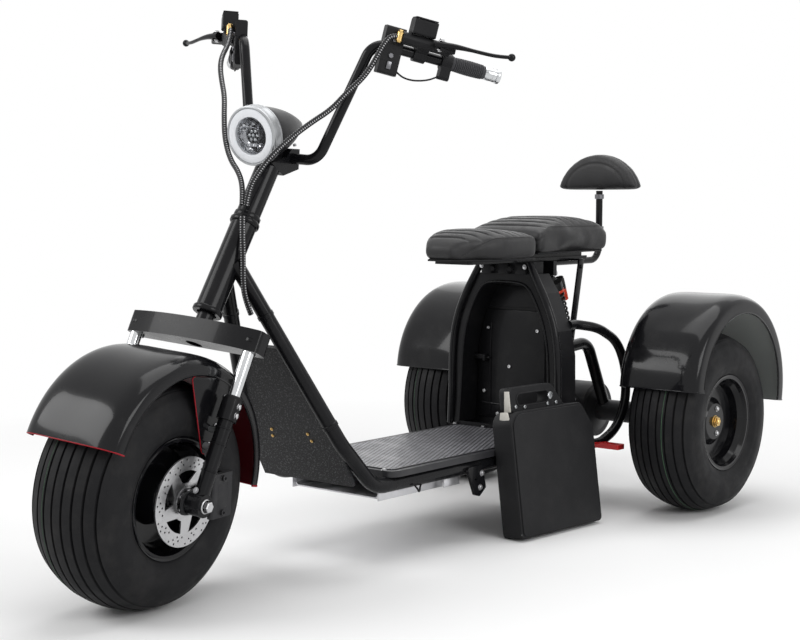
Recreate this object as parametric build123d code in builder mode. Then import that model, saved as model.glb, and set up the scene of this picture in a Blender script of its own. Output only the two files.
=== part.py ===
from build123d import *
import math
import os

# A three-wheeled electric scooter with fat tyres, a raked fork, a low deck and two saddles.
# Millimetres. +Z up, forwards is -Y, the rider's left is +X. The origin is on the ground,
# below the middle of the overall box. The steering rests turned a little to the left.

# Wheels
wheelbase = 1516.0
front_axle_y = -782.0
rear_axle_y = front_axle_y + wheelbase
tyre_radius = 228.0
rear_track = 720.0
front_tyre_half = 98.0
rear_tyre_half = 93.0
rim_radius = 118.0
flange_inset = 12.0
tyre_gap = 0.3

# Steering
head_rake = 31.0
fork_rake = 25.0
steer_rest = 9.5
head_above_axle = 334.0
head_bottom_z = tyre_radius + head_above_axle
head_height = 205.0
head_radius = 27.0
axis_y_at_head = -608.0
stem_radius = 17.0
bearing_gap = 0.3
fork_half = 142.0
stanchion_radius = 12.5
leg_radius = 15.0
collar_radius = 20.0
bridge_drop = 56.0
bridge_z = head_bottom_z - bridge_drop
bridge_height = 44.0
bridge_depth = 62.0
axle_radius = 9.0

# Handlebar
bar_radius = 11.1
clamp_back_from_head = 227.0
clamp_above_head = 310.0
clamp_y = axis_y_at_head + clamp_back_from_head
clamp_z = head_bottom_z + clamp_above_head
clamp_half = 24.0
bar_foot_x = 86.0
bar_rise_x = 166.0
bar_rise_back = 57.0
bar_rise_up = 248.0
grip_end_x = 352.0
grip_end_back = 261.0
grip_end_up = 198.0
bar_bend = 38.0
grip_length = 112.0
grip_radius = 16.0

# Frame
seat_gap = 0.3
tube_radius = 16.0
hoop_radius = 12.0
deck_half = 160.0
deck_top_z = 207.0
deck_thick = 16.0
panel_thick = 2.0
panel_inset = 14.0
deck_front_y = -226.0
rail_x = deck_half - tube_radius - 3
rail_z = deck_top_z - deck_thick - tube_radius - seat_gap
rail_back_y = 480.0
tower_y = 396.0
tower_depth = 66.0
tower_half = 168.0
tower_foot_half = 180.0
tower_top_half = 88.0
tower_top_z = 600.0
tower_wall = 4.0

# Seats
seat_base_z = 638.0
saddle_nose_y = 122.0
saddle_joint_y = 380.0
saddle_end_y = 700.0
saddle_half = 118.0
saddle_nose_half = 40.0
saddle_gap = 0.4
saddle_widen_y = 240.0
saddle_top_y = 252.0
saddle_top_rise = 58.0
saddle_joint_rise = 52.0
nose_round = 20.0
nose_top_rise = 44.0
nose_front_rise = 26.0
rear_step = 12.0
rear_top_y = 470.0
rear_top_rise = 74.0
rear_front_rise = 54.0
rear_end_rise = 50.0
rear_end_round = 40.0

# Fenders
fender_wall = 3.0

# Battery
battery_length = 302.0
battery_height = 292.0
battery_thick = 58.0


def keep(piece, label):
    piece.label = label
    export_step(piece, "parts/" + label + ".step")


steer_axis = Axis(
    (0, axis_y_at_head, head_bottom_z),
    (0, math.sin(math.radians(head_rake)), math.cos(math.radians(head_rake))),
)


def keep_turned(piece, label):
    keep(piece.rotate(steer_axis, steer_rest), label)


def tube(points, bend, radius):
    with BuildPart() as piece:
        with BuildLine() as path:
            FilletPolyline(*points, radius=bend)
        with BuildSketch(Plane(origin=path.line @ 0, z_dir=path.line % 0)):
            Circle(radius)
        sweep()
    return piece.part


# A tube whose arcs are as large as its runs allow
def smooth_tube(points, radius):
    corners = []
    for before, corner, after in zip(points, points[1:], points[2:]):
        run_in = Vector(*corner) - Vector(*before)
        run_out = Vector(*after) - Vector(*corner)
        half_turn = math.radians(run_in.get_angle(run_out)) / 2
        corners.append(0.45 * min(run_in.length, run_out.length) / math.tan(half_turn))
    print("bend radii", [round(corner) for corner in corners])
    return tube(points, corners, radius)


def rod(start, end, radius):
    start = Vector(*start)
    end = Vector(*end)
    with BuildPart() as piece:
        with BuildSketch(Plane(origin=start, z_dir=end - start)):
            Circle(radius)
        extrude(amount=(end - start).length)
    return piece.part


def wheel_plane(x, y):
    return Plane(origin=(x, y, tyre_radius), x_dir=(1, 0, 0), z_dir=(0, 0, 1))


def wheel_axis(x, y):
    return Axis((x, y, tyre_radius), (1, 0, 0))


# Tyre section: crown arc, bulging sidewalls and a flat bead seat, turned about the axle
def make_tyre(x, y, half):
    shoulder = half * 0.8
    crown = tyre_radius - 20
    widest = rim_radius + 47
    bead = half - flange_inset
    seat = rim_radius + tyre_gap
    with BuildPart() as tyre:
        with BuildSketch(wheel_plane(x, y)):
            with BuildLine():
                ThreePointArc((-shoulder, crown), (0, tyre_radius), (shoulder, crown))
                ThreePointArc((shoulder, crown), (half, widest), (bead, seat))
                Line((bead, seat), (-bead, seat))
                ThreePointArc((-bead, seat), (-half, widest), (-shoulder, crown))
            make_face()
        revolve(axis=wheel_axis(x, y))
    return tyre.part


# Rim: barrel with rolled flanges and a dished disc, with the hub bored for the axle
def make_rim(x, y, half, dish, hub_out):
    bead = half - flange_inset - 1
    with BuildPart() as rim:
        with BuildSketch(wheel_plane(x, y)):
            with BuildLine():
                Polyline(
                    (-bead, rim_radius), (bead, rim_radius), (bead, rim_radius - 8),
                    (bead - 10, rim_radius - 12), (bead - 22, rim_radius - 20),
                    (dish + 4, rim_radius - 24), (dish, 60), (hub_out, 45), (hub_out, axle_radius + 0.3),
                    (-hub_out, axle_radius + 0.3), (-hub_out, 40), (dish - 7, 52),
                    (dish - 6, rim_radius - 16), (-bead + 22, rim_radius - 12),
                    (-bead + 10, rim_radius - 6), (-bead, rim_radius - 5), close=True,
                )
            make_face()
        revolve(axis=wheel_axis(x, y))
    return rim.part


os.makedirs("parts", exist_ok=True)

# Front wheel
keep_turned(make_tyre(0, front_axle_y, front_tyre_half), "front_tyre")
keep_turned(make_rim(0, front_axle_y, front_tyre_half, 30, 70), "front_rim")

# Rear wheels
for side, label in ((1, "left"), (-1, "right")):
    rear_x = side * rear_track / 2
    keep(make_tyre(rear_x, rear_axle_y, rear_tyre_half), "rear_tyre_" + label)
    with BuildPart() as rear_rim:
        add(make_rim(rear_track / 2, rear_axle_y, rear_tyre_half, 36, 48))
    rim_piece = rear_rim.part if side > 0 else rear_rim.part.mirror(Plane.YZ)
    keep(rim_piece, "rear_rim_" + label)

# Brake disc on the left of the front wheel: a ring carried by five spokes
disc_x = 109.0
disc_radius = 87.0
disc_thick = 4.0
disc_ring = 24.0
disc_hub = 34.0
with BuildPart() as brake_disc:
    disc_plane = Plane(origin=(disc_x, front_axle_y, tyre_radius), x_dir=(0, 1, 0), z_dir=(1, 0, 0))
    with BuildSketch(disc_plane):
        Circle(disc_radius)
        Circle(disc_radius - disc_ring, mode=Mode.SUBTRACT)
        Circle(disc_hub)
        with PolarLocations((disc_hub + disc_radius - disc_ring) / 2, 5):
            Rectangle(disc_radius - disc_ring - disc_hub + 12, 14)
        Circle(axle_radius + 0.3, mode=Mode.SUBTRACT)
    extrude(amount=disc_thick)
    with BuildSketch(disc_plane):
        Circle(disc_hub)
        Circle(axle_radius + 0.3, mode=Mode.SUBTRACT)
    extrude(amount=-(disc_x - 70))
keep_turned(brake_disc.part, "brake_disc")

# Front axle with its end nuts
axle_half = fork_half + 20
keep_turned(
    rod((-axle_half, front_axle_y, tyre_radius), (axle_half, front_axle_y, tyre_radius), axle_radius),
    "front_axle",
)

# Fork: two chrome stanchions, a bridge above and lower legs that end at the axle
fork_dir = Vector(0, -math.sin(math.radians(fork_rake)), -math.cos(math.radians(fork_rake)))
drop_to_axle = (bridge_z - tyre_radius) / math.cos(math.radians(fork_rake))
fork_foot = Vector(fork_half, front_axle_y, tyre_radius)
fork_top = fork_foot - fork_dir * drop_to_axle
collar_at = 168.0
collar_length = 42.0


def fork_rods(start, end, radius, label):
    with BuildPart() as pair:
        with BuildSketch(Plane(origin=fork_foot - fork_dir * start, z_dir=-fork_dir)):
            Circle(radius)
        extrude(amount=end - start)
        mirror(about=Plane.YZ)
    keep_turned(pair.part, label)


fork_rods(collar_at + collar_length, drop_to_axle, stanchion_radius, "stanchions")
fork_rods(collar_at, collar_at + collar_length - 0.3, collar_radius, "fork_collars")
with BuildPart() as fork_legs:
    with BuildSketch(Plane(origin=fork_foot, z_dir=-fork_dir)):
        Circle(leg_radius)
    extrude(amount=collar_at - 0.3)
    with BuildSketch(Plane(origin=fork_foot - Vector(leg_radius + 2, 0, 0), z_dir=(1, 0, 0))):
        Circle(22)
    extrude(amount=2 * leg_radius + 4)
    with BuildSketch(Plane(origin=fork_foot - Vector(leg_radius + 3, 0, 0), z_dir=(1, 0, 0))):
        Circle(axle_radius + 0.3)
    extrude(amount=2 * leg_radius + 6, mode=Mode.SUBTRACT)
    mirror(about=Plane.YZ)
keep_turned(fork_legs.part, "fork_legs")

axis_dir = steer_axis.direction
axis_foot = Vector(0, axis_y_at_head, head_bottom_z)


def on_axis(distance):
    return axis_foot + axis_dir * distance


stem_top = 336.0
stem_foot = -62.0

# Bridge: a thick bowed beam across the top of the stanchions
with BuildPart() as fork_bridge:
    bridge_plane = Plane(
        origin=(0, fork_top.Y, fork_top.Z), x_dir=(1, 0, 0), z_dir=-fork_dir
    )
    bow = 22.0
    reach = fork_half + 22
    half_depth = bridge_depth / 2
    with BuildSketch(bridge_plane):
        with BuildLine():
            ThreePointArc((-reach, bow - half_depth), (0, -half_depth), (reach, bow - half_depth))
            Polyline(
                (reach, bow - half_depth), (reach, half_depth), (-reach, half_depth),
                (-reach, bow - half_depth),
            )
        make_face()
        fillet(vertices(), radius=12)
    extrude(amount=bridge_height)
    with BuildSketch(Plane(origin=on_axis(stem_foot - 20), z_dir=axis_dir)):
        Circle(stem_radius + seat_gap)
    extrude(amount=100, mode=Mode.SUBTRACT)
keep_turned(fork_bridge.part, "fork_bridge")

# Steering stem: up through the head tube to the bar clamp
with BuildPart() as steering_stem:
    with BuildSketch(Plane(origin=on_axis(stem_foot), z_dir=axis_dir)):
        Circle(stem_radius)
    extrude(amount=stem_top - stem_foot)
    with BuildSketch(Plane(origin=on_axis(head_height + 6), z_dir=axis_dir)):
        Circle(head_radius - 2)
    extrude(amount=stem_top - head_height - 6)
keep_turned(steering_stem.part, "steering_stem")

# Head tube of the frame
with BuildPart() as head_tube:
    with BuildSketch(Plane(origin=on_axis(0), z_dir=axis_dir)):
        Circle(head_radius)
        Circle(stem_radius + bearing_gap, mode=Mode.SUBTRACT)
    extrude(amount=head_height)
keep(head_tube.part, "head_tube")

# Bar clamp: a wedge block on top of the stem that carries the handlebar behind it
stem_end = on_axis(stem_top + seat_gap)
across = Vector(0, math.cos(math.radians(head_rake)), -math.sin(math.radians(head_rake)))
clamp_front = stem_end - across * (head_radius - 4)
clamp_brow_y = clamp_y - 22
clamp_brow_z = clamp_z + 3
clamp_back = stem_end + across * head_radius
with BuildPart() as bar_clamp:
    with BuildSketch(Plane.YZ.offset(-clamp_half)):
        with BuildLine():
            Polyline(
                (clamp_front.Y, clamp_front.Z), (clamp_brow_y, clamp_brow_z), (clamp_y - 6, clamp_z + 20),
                (clamp_y + 22, clamp_z + 20), (clamp_y + 22, clamp_z - 22), (clamp_back.Y, clamp_back.Z),
                close=True,
            )
        make_face()
    extrude(amount=2 * clamp_half)
    with BuildSketch(Plane.YZ.offset(-clamp_half - 1)):
        with Locations((clamp_y, clamp_z)):
            Circle(bar_radius + seat_gap)
    extrude(amount=2 * clamp_half + 2, mode=Mode.SUBTRACT)
keep_turned(bar_clamp.part, "bar_clamp")

# Handlebar: rises from the clamp and sweeps back to the grips
grip_top = Vector(bar_rise_x, clamp_y + bar_rise_back, clamp_z + bar_rise_up)
grip_end = Vector(grip_end_x, clamp_y + grip_end_back, clamp_z + grip_end_up)
bar_points = [
    (grip_end.X, grip_end.Y, grip_end.Z),
    (grip_top.X, grip_top.Y, grip_top.Z),
    (bar_foot_x, clamp_y, clamp_z),
    (-bar_foot_x, clamp_y, clamp_z),
    (-grip_top.X, grip_top.Y, grip_top.Z),
    (-grip_end.X, grip_end.Y, grip_end.Z),
]
bar_room = tube(bar_points, bar_bend, bar_radius + seat_gap)
keep_turned(tube(bar_points, bar_bend, bar_radius), "handlebar")

# Grips over the bar's ends
grip_dir = (grip_end - grip_top).normalized()
with BuildPart() as grips:
    with BuildSketch(Plane(origin=grip_end + grip_dir * 3, z_dir=-grip_dir)):
        Circle(grip_radius)
    extrude(amount=grip_length)
    with BuildSketch(Plane(origin=grip_end + grip_dir * seat_gap, z_dir=-grip_dir)):
        Circle(bar_radius + seat_gap)
    extrude(amount=grip_length, mode=Mode.SUBTRACT)
    mirror(about=Plane.YZ)
keep_turned(grips.part, "grips")

# Headlight: a deep bezel ring with the lens in it and a tapering bowl behind, aimed a little down
lamp_tilt = 9.5
lamp_radius = 61.0
bezel_depth = 26.0
bezel_lip = 14.0
bowl_length = 139.0
lamp_ahead = 117.0
lamp_up = 42.0
lamp_face = Vector(0, clamp_y - lamp_ahead, clamp_z + lamp_up)
lamp_back = Vector(0, math.cos(math.radians(lamp_tilt)), math.sin(math.radians(lamp_tilt)))
lamp_axis = Axis(lamp_face, lamp_back)
lamp_plane = Plane(origin=lamp_face, x_dir=(1, 0, 0), z_dir=Vector(1, 0, 0).cross(lamp_back))


def lamp_bowl(extra):
    front = bezel_depth + seat_gap
    rim = lamp_radius - 4 + extra
    tail = 10 + extra
    end = front + bowl_length + extra
    with BuildPart() as bowl:
        with BuildSketch(lamp_plane):
            with BuildLine():
                Line((0, front), (rim, front))
                ThreePointArc((rim, front), (42 + extra, front + bowl_length * 0.51), (tail, end))
                Polyline((tail, end), (0, end), (0, front))
            make_face()
        revolve(axis=lamp_axis)
    return bowl.part


keep_turned(lamp_bowl(0), "headlight_bowl")
with BuildPart() as headlight_bezel:
    with BuildSketch(lamp_plane):
        with BuildLine():
            Polyline(
                (lamp_radius - bezel_lip, 3), (lamp_radius - 6, 0), (lamp_radius, 5), (lamp_radius, bezel_depth),
                (lamp_radius - bezel_lip, bezel_depth), close=True,
            )
        make_face()
    revolve(axis=lamp_axis)
keep_turned(headlight_bezel.part, "headlight_bezel")
with BuildPart() as headlight_lens:
    with BuildSketch(lamp_plane):
        with BuildLine():
            lens_radius = lamp_radius - bezel_lip - seat_gap
            Line((0, bezel_depth), (lens_radius, bezel_depth))
            Line((lens_radius, bezel_depth), (lens_radius, 9))
            ThreePointArc((lens_radius, 9), (lens_radius * 0.52, 4.5), (2, 3))
            Polyline((2, 3), (0, 3), (0, bezel_depth))
        make_face()
    revolve(axis=lamp_axis)
keep_turned(headlight_lens.part, "headlight_lens")

# Headlight mount: a saddle block between the clamp and the bowl
with BuildPart() as headlight_mount:
    with BuildSketch(Plane.YZ.offset(-12)):
        with BuildLine():
            Polyline(
                (clamp_front.Y + 8, clamp_front.Z), (clamp_brow_y, clamp_brow_z + seat_gap),
                (clamp_brow_y, lamp_face.Z), (clamp_front.Y + 8, lamp_face.Z), close=True,
            )
        make_face()
    extrude(amount=24)
    add(lamp_bowl(seat_gap), mode=Mode.SUBTRACT)
    add(bar_clamp.part, mode=Mode.SUBTRACT)
keep_turned(headlight_mount.part, "headlight_mount")

# Controls on the bar's ends, laid out along the bar from the grip's inner end
bar_across = Vector(grip_dir.Y, -grip_dir.X, 0).normalized()
grip_inner = grip_end - grip_dir * (grip_length - 3)


def bar_plane(along):
    return Plane(origin=grip_inner - grip_dir * along, x_dir=bar_across, z_dir=-grip_dir)


# Throttle housing beside each grip
with BuildPart() as throttle_housings:
    with BuildSketch(bar_plane(seat_gap)):
        Circle(18)
        with Locations((4, -20)):
            RectangleRounded(22, 36, 7)
    extrude(amount=22)
    add(bar_room, mode=Mode.SUBTRACT)
    mirror(about=Plane.YZ)
keep_turned(throttle_housings.part, "throttle_housings")

# Brake masters: clamp ring, web, cylinder and lever bracket in one, with a reservoir above
cylinder_across = 27.0
cylinder_up = 22.0
cylinder_radius = 13.0
cylinder_end = 122.0
bracket_at = 14.0
mirror_along = 16.0
mirror_across = 23.0
mirror_bore = 4.0
mirror_depth = 14.0
lever_ball_out = Vector(73, -86, 37)
lever_pivot_out = Vector(-62, -142, 52)
lever_ball = grip_end + lever_ball_out
lever_pivot = grip_end + lever_pivot_out
lever_run = (lever_ball - lever_pivot).normalized()
with BuildPart() as brake_masters:
    with BuildSketch(bar_plane(58)):
        Circle(16)
        with Locations((cylinder_across / 2, cylinder_up / 2)):
            Rectangle(36, 18, rotation=math.degrees(math.atan2(cylinder_up, cylinder_across)))
    extrude(amount=26)
    with BuildSketch(bar_plane(bracket_at + 4)):
        with Locations((cylinder_across, cylinder_up)):
            Circle(cylinder_radius)
    extrude(amount=cylinder_end - bracket_at - 4)
    with BuildSketch(bar_plane(bracket_at)):
        with Locations((cylinder_across + 16, cylinder_up + 2)):
            RectangleRounded(34, 20, 4)
    extrude(amount=32)
    add(bar_room, mode=Mode.SUBTRACT)
    boss_plane = bar_plane(bracket_at + mirror_along)
    boss_top = boss_plane.from_local_coords((cylinder_across + mirror_across, cylinder_up + 12, 0))
    with BuildSketch(Plane(origin=boss_top, z_dir=boss_plane.y_dir)):
        Circle(mirror_bore)
    extrude(amount=-mirror_depth, mode=Mode.SUBTRACT)
    mirror(about=Plane.YZ)
keep_turned(brake_masters.part, "brake_masters")

reservoir_low = cylinder_up + cylinder_radius + seat_gap
reservoir_high = 32.0
with BuildPart() as fluid_reservoirs:
    with BuildSketch(bar_plane(56)):
        with Locations((cylinder_across - 2, reservoir_low + reservoir_high / 2)):
            RectangleRounded(34, reservoir_high, 4)
    extrude(amount=50)
    mirror(about=Plane.YZ)
keep_turned(fluid_reservoirs.part, "fluid_reservoirs")

# Switch boxes around the bar's bends
with BuildPart() as switch_boxes:
    with BuildSketch(bar_plane(cylinder_end - 10)):
        with Locations((4, -8)):
            RectangleRounded(26, 98, 5)
    extrude(amount=42)
    add(bar_room, mode=Mode.SUBTRACT)
    add(brake_masters.part, mode=Mode.SUBTRACT)
    mirror(about=Plane.YZ)
keep_turned(switch_boxes.part, "switch_boxes")

# Brake levers with ball ends
with BuildPart() as levers:
    with BuildSketch(Plane(origin=lever_pivot - lever_run * 12, z_dir=lever_run)):
        Rectangle(14, 7)
    extrude(amount=(lever_ball - lever_pivot).length + 12)
    with Locations(lever_ball):
        Sphere(8)
    with BuildSketch(bar_plane(bracket_at - seat_gap)):
        with Locations((cylinder_across + 16, cylinder_up + 2)):
            Rectangle(34 + 2 * seat_gap, 20 + 2 * seat_gap)
    extrude(amount=60, mode=Mode.SUBTRACT)
    mirror(about=Plane.YZ)
keep_turned(levers.part, "brake_levers")

# Front caliper, slotted for the disc and bolted to the left fork leg by its bracket
caliper_back = 90.0
caliper_half = 44.0
slot_gap = 5.0
with BuildPart() as brake_caliper:
    with BuildSketch(Plane.XY.offset(tyre_radius - caliper_half)):
        with Locations((disc_x + disc_thick / 2, front_axle_y + caliper_back)):
            RectangleRounded(36, 62, 6)
    extrude(amount=2 * caliper_half)
    with BuildSketch(Plane.XY.offset(tyre_radius - caliper_half - 1)):
        with Locations((disc_x + disc_thick / 2, front_axle_y + caliper_back - 20)):
            Rectangle(disc_thick + 2 * slot_gap, 62)
    extrude(amount=2 * caliper_half + 2, mode=Mode.SUBTRACT)
    with BuildSketch(Plane.YZ.offset(disc_x + disc_thick + slot_gap)):
        with BuildLine():
            Polyline(
                (front_axle_y - 24, tyre_radius - 20), (front_axle_y + caliper_back, tyre_radius - 34),
                (front_axle_y + caliper_back, tyre_radius + 34), (front_axle_y - 24, tyre_radius + 20), close=True,
            )
        make_face()
        fillet(vertices(), radius=8)
        with Locations((front_axle_y, tyre_radius)):
            Circle(axle_radius + seat_gap, mode=Mode.SUBTRACT)
    extrude(amount=fork_half - leg_radius - 2 - seat_gap - disc_x - disc_thick - slot_gap)
keep_turned(brake_caliper.part, "brake_caliper")

# Front fender: a curved hood over the wheel, carried by the fork collars
front_fender_gap = 9.0
front_fender_r = tyre_radius + front_fender_gap
front_fender_up = 38.0
front_fender_back = 8.0
front_fender_half = 112.0
front_fender_sweep = 168.0


def make_fender(centre, radius, half, start, sweep_angle, skirt):
    with BuildPart() as fender:
        with BuildSketch(Plane(origin=centre, x_dir=(1, 0, 0), z_dir=(0, 0, 1))):
            with BuildLine():
                FilletPolyline(
                    (-half, radius - 34 - skirt), (-half, radius - 20), (-half + 34, radius),
                    (half - 34, radius), (half, radius - 20), (half, radius - 34 - skirt), radius=16,
                )
                offset(amount=fender_wall, side=Side.RIGHT)
            make_face()
        revolve(axis=Axis(centre, (1, 0, 0)), revolution_arc=sweep_angle)
    return fender.part.rotate(Axis(centre, (1, 0, 0)), start)


# The front one has an ear on each side that reaches down to the fork legs
front_centre = Vector(0, front_axle_y + front_fender_back, tyre_radius + front_fender_up)
ear_front = 34.0
ear_width = 44.0
ear_low = 47.0
with BuildPart() as front_fender:
    add(make_fender(front_centre, front_fender_r, front_fender_half, 0, front_fender_sweep, 0))
    with BuildSketch(Plane.YZ.offset(front_fender_half - fender_wall)):
        with BuildLine():
            Polyline(
                (front_centre.Y + ear_front, front_centre.Z + ear_low),
                (front_centre.Y + ear_front + ear_width, front_centre.Z + ear_low),
                (front_centre.Y + ear_front + 2 * ear_width, front_centre.Z + front_fender_r - 52),
                (front_centre.Y + ear_front - 6, front_centre.Z + front_fender_r - 36), close=True,
            )
        make_face()
    extrude(amount=fender_wall)
    mirror(about=Plane.YZ)
keep_turned(front_fender.part, "front_fender")

# Spacers between the ears and the fork legs
spacer_ahead = front_fender_half + seat_gap
with BuildPart() as fender_spacers:
    for along in (112, 146):
        spot = fork_foot - fork_dir * along
        with BuildSketch(Plane.YZ.offset(spacer_ahead)):
            with Locations((spot.Y, spot.Z)):
                Circle(7)
        extrude(amount=fork_half - spacer_ahead)
    with BuildSketch(Plane(origin=fork_foot, z_dir=-fork_dir)):
        Circle(leg_radius + seat_gap)
    extrude(amount=collar_at, mode=Mode.SUBTRACT)
    mirror(about=Plane.YZ)
keep_turned(fender_spacers.part, "fender_spacers")

# Rear fenders: deeper hoods over each rear wheel
rear_fender_gap = 14.0
rear_fender_r = tyre_radius + rear_fender_gap
rear_fender_up = 77.0
rear_fender_back = 26.0
rear_fender_half = 110.0
rear_fender_sweep = 186.0
rear_centre = Vector(rear_track / 2, rear_axle_y + rear_fender_back, tyre_radius + rear_fender_up)
rear_fender_skirt = 10.0
rear_fender_start = -11.0
left_fender = make_fender(
    rear_centre, rear_fender_r, rear_fender_half, rear_fender_start, rear_fender_sweep, rear_fender_skirt
)
keep(left_fender, "rear_fender_left")
keep(left_fender.mirror(Plane.YZ), "rear_fender_right")

# Frame: two down tubes, coped around the head tube, that bend into the deck rails
down_top_x = 18.0
down_top_back = 60.0
down_top_up = 98.0
down_foot_y = -362.0
down_foot_z = 280.0
down_top = Vector(down_top_x, axis_y_at_head + down_top_back, head_bottom_z + down_top_up)
down_foot = Vector(rail_x - 7, down_foot_y, down_foot_z)
rail_bend = 80.0
rail_bend_y = deck_front_y - 40


def down_tubes(radius):
    with BuildPart() as tubes:
        path = [
            (down_top.X, down_top.Y, down_top.Z), (down_foot.X, down_foot.Y, down_foot.Z),
            (rail_x, rail_bend_y, rail_z), (rail_x, rail_back_y, rail_z),
        ]
        add(tube(path, rail_bend, radius))
        with BuildSketch(Plane(origin=on_axis(-40), z_dir=axis_dir)):
            Circle(head_radius + seat_gap)
        extrude(amount=head_height + 80, mode=Mode.SUBTRACT)
        split(bisect_by=Plane.YZ.offset(0.2))
        mirror(about=Plane.YZ)
    return tubes.part


keep(down_tubes(tube_radius), "frame_tubes")

# Leg shield between the down tubes
shield_up = (Vector(0, down_top.Y, down_top.Z) - Vector(0, down_foot.Y, down_foot.Z)).normalized()
shield_low = Vector(0, down_foot.Y, down_foot.Z)
shield_top = 228.0
shield_drop = 106.0
shield_top_half = down_foot.X - (down_foot.X - down_top.X) * shield_top / (down_top - down_foot).length
with BuildPart() as leg_shield:
    shield_plane = Plane(origin=shield_low, x_dir=(1, 0, 0), z_dir=Vector(1, 0, 0).cross(shield_up))
    with BuildSketch(shield_plane.offset(-5)):
        with BuildLine():
            Polyline(
                (down_foot.X, 0), (down_foot.X - 4, -shield_drop), (4 - down_foot.X, -shield_drop),
                (-down_foot.X, 0), (-shield_top_half, shield_top), (shield_top_half, shield_top), close=True,
            )
        make_face()
    extrude(amount=10)
    add(down_tubes(tube_radius + seat_gap), mode=Mode.SUBTRACT)
keep(leg_shield.part, "leg_shield")

# Deck with a raised textured panel ahead of the tower
deck_back_y = tower_y + tower_depth
panel_back_y = tower_y - 4
tower_foot_z = deck_top_z - panel_thick
with BuildPart() as deck:
    with BuildSketch(Plane.XY.offset(deck_top_z - deck_thick)):
        with Locations((0, (deck_front_y + deck_back_y) / 2)):
            RectangleRounded(2 * deck_half, deck_back_y - deck_front_y, 30)
    extrude(amount=deck_thick - panel_thick)
    with BuildSketch(Plane.XY.offset(deck_top_z - panel_thick)):
        with Locations((0, (deck_front_y + panel_inset + panel_back_y) / 2)):
            RectangleRounded(2 * (deck_half - panel_inset), panel_back_y - deck_front_y - panel_inset, 18)
    extrude(amount=panel_thick)
keep(deck.part, "deck")

# Tray below the deck, hung between the rails
tray_half = rail_x - tube_radius - seat_gap
tray_wall = 3.0
tray_front_y = deck_front_y - 4
tray_back_y = -5.0
tray_low_z = 142.0
with BuildPart() as under_tray:
    with BuildSketch(Plane.XZ.offset(-tray_back_y)):
        with BuildLine():
            Polyline(
                (-tray_half, rail_z), (-tray_half, tray_low_z + 8), (8 - tray_half, tray_low_z),
                (tray_half - 8, tray_low_z), (tray_half, tray_low_z + 8), (tray_half, rail_z),
            )
            offset(amount=tray_wall, side=Side.LEFT)
        make_face()
    extrude(amount=tray_back_y - tray_front_y)
keep(under_tray.part, "under_tray")

# Stand brackets on the outer sides of the rails
bracket_thick = 8.0
bracket_gap_x = rail_x + tube_radius + seat_gap
with BuildPart() as stand_brackets:
    with BuildSketch(Plane.YZ.offset(bracket_gap_x)):
        with BuildLine():
            Polyline((30, rail_z + 4), (86, rail_z + 4), (101, 125), (76, 107), (60, 112), close=True)
        make_face()
        fillet(vertices(), radius=5)
        with Locations((62, 150)):
            Circle(5, mode=Mode.SUBTRACT)
    extrude(amount=bracket_thick)
    mirror(about=Plane.YZ)
keep(stand_brackets.part, "stand_brackets")

# Seat tower: an arched pan that faces forwards and holds the battery
with BuildPart() as seat_tower:
    tower_plane = Plane(origin=(0, tower_y + tower_depth, 0), x_dir=(1, 0, 0), z_dir=(0, -1, 0))
    with BuildSketch(tower_plane):
        with BuildLine():
            Polyline(
                (-tower_foot_half, tower_foot_z), (tower_foot_half, tower_foot_z), (tower_half + 2, 262),
                (tower_half, 400), (tower_half - 12, 462), (118, 554), (tower_top_half, tower_top_z),
                (-tower_top_half, tower_top_z), (-118, 554), (12 - tower_half, 462), (-tower_half, 400),
                (-tower_half - 2, 262), close=True,
            )
        make_face()
    extrude(amount=tower_depth)
    front_face = seat_tower.faces().sort_by(Axis.Y)[0]
    offset(amount=-tower_wall, openings=front_face)
keep(seat_tower.part, "seat_tower")

# Seat plate: it runs under both saddles and steps up under the rear one
plate_thick = 8.0
plate_top_z = seat_base_z - seat_gap
plate_low_z = plate_top_z - plate_thick
rear_base_z = seat_base_z + rear_step
plate_start_y = saddle_nose_y + 58
plate_end_y = saddle_end_y - 10
riser_start_y = saddle_joint_y + 30
plate_wide = 110.0
lug_y = 500.0
lug_drop = 36.0
lug_thick = 14.0
shock_lug_half = 80.0
with BuildPart() as seat_plate:
    with BuildSketch(Plane.XY.offset(plate_low_z)):
        with Locations((0, (plate_start_y + plate_end_y) / 2)):
            RectangleRounded(plate_wide, plate_end_y - plate_start_y, 10)
    extrude(amount=plate_thick)
    with BuildSketch(Plane.XY.offset(plate_top_z)):
        with Locations((0, (riser_start_y + plate_end_y - 10) / 2)):
            RectangleRounded(plate_wide - 20, plate_end_y - 10 - riser_start_y, 10)
    extrude(amount=rear_base_z - seat_gap - plate_top_z)
    with BuildSketch(Plane.XY.offset(plate_low_z)):
        with Locations((0, lug_y)):
            Rectangle(2 * shock_lug_half, lug_thick)
    extrude(amount=-lug_drop)
keep(seat_plate.part, "seat_plate")

# Seat mount between the tower and the plate
with BuildPart() as seat_mount:
    with BuildSketch(Plane.XY.offset(tower_top_z)):
        with Locations((0, tower_y + tower_depth / 2)):
            RectangleRounded(150, 60, 6)
    extrude(amount=plate_low_z - tower_top_z)
keep(seat_mount.part, "seat_mount")


# Saddles, seen from the side and then trimmed to the plan
def make_saddle(points, plan, label):
    with BuildPart() as saddle:
        with BuildSketch(Plane.YZ.offset(-saddle_half)):
            with BuildLine():
                Polyline(*points, close=True)
            make_face()
            fillet(vertices().group_by(Axis.Y)[0], radius=12)
        extrude(amount=2 * saddle_half)
        with BuildSketch(Plane.XY.offset(seat_base_z - 10)):
            with BuildLine():
                Polyline(*plan, close=True)
            make_face()
        extrude(amount=150, mode=Mode.INTERSECT)
    keep(saddle.part, label)


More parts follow.
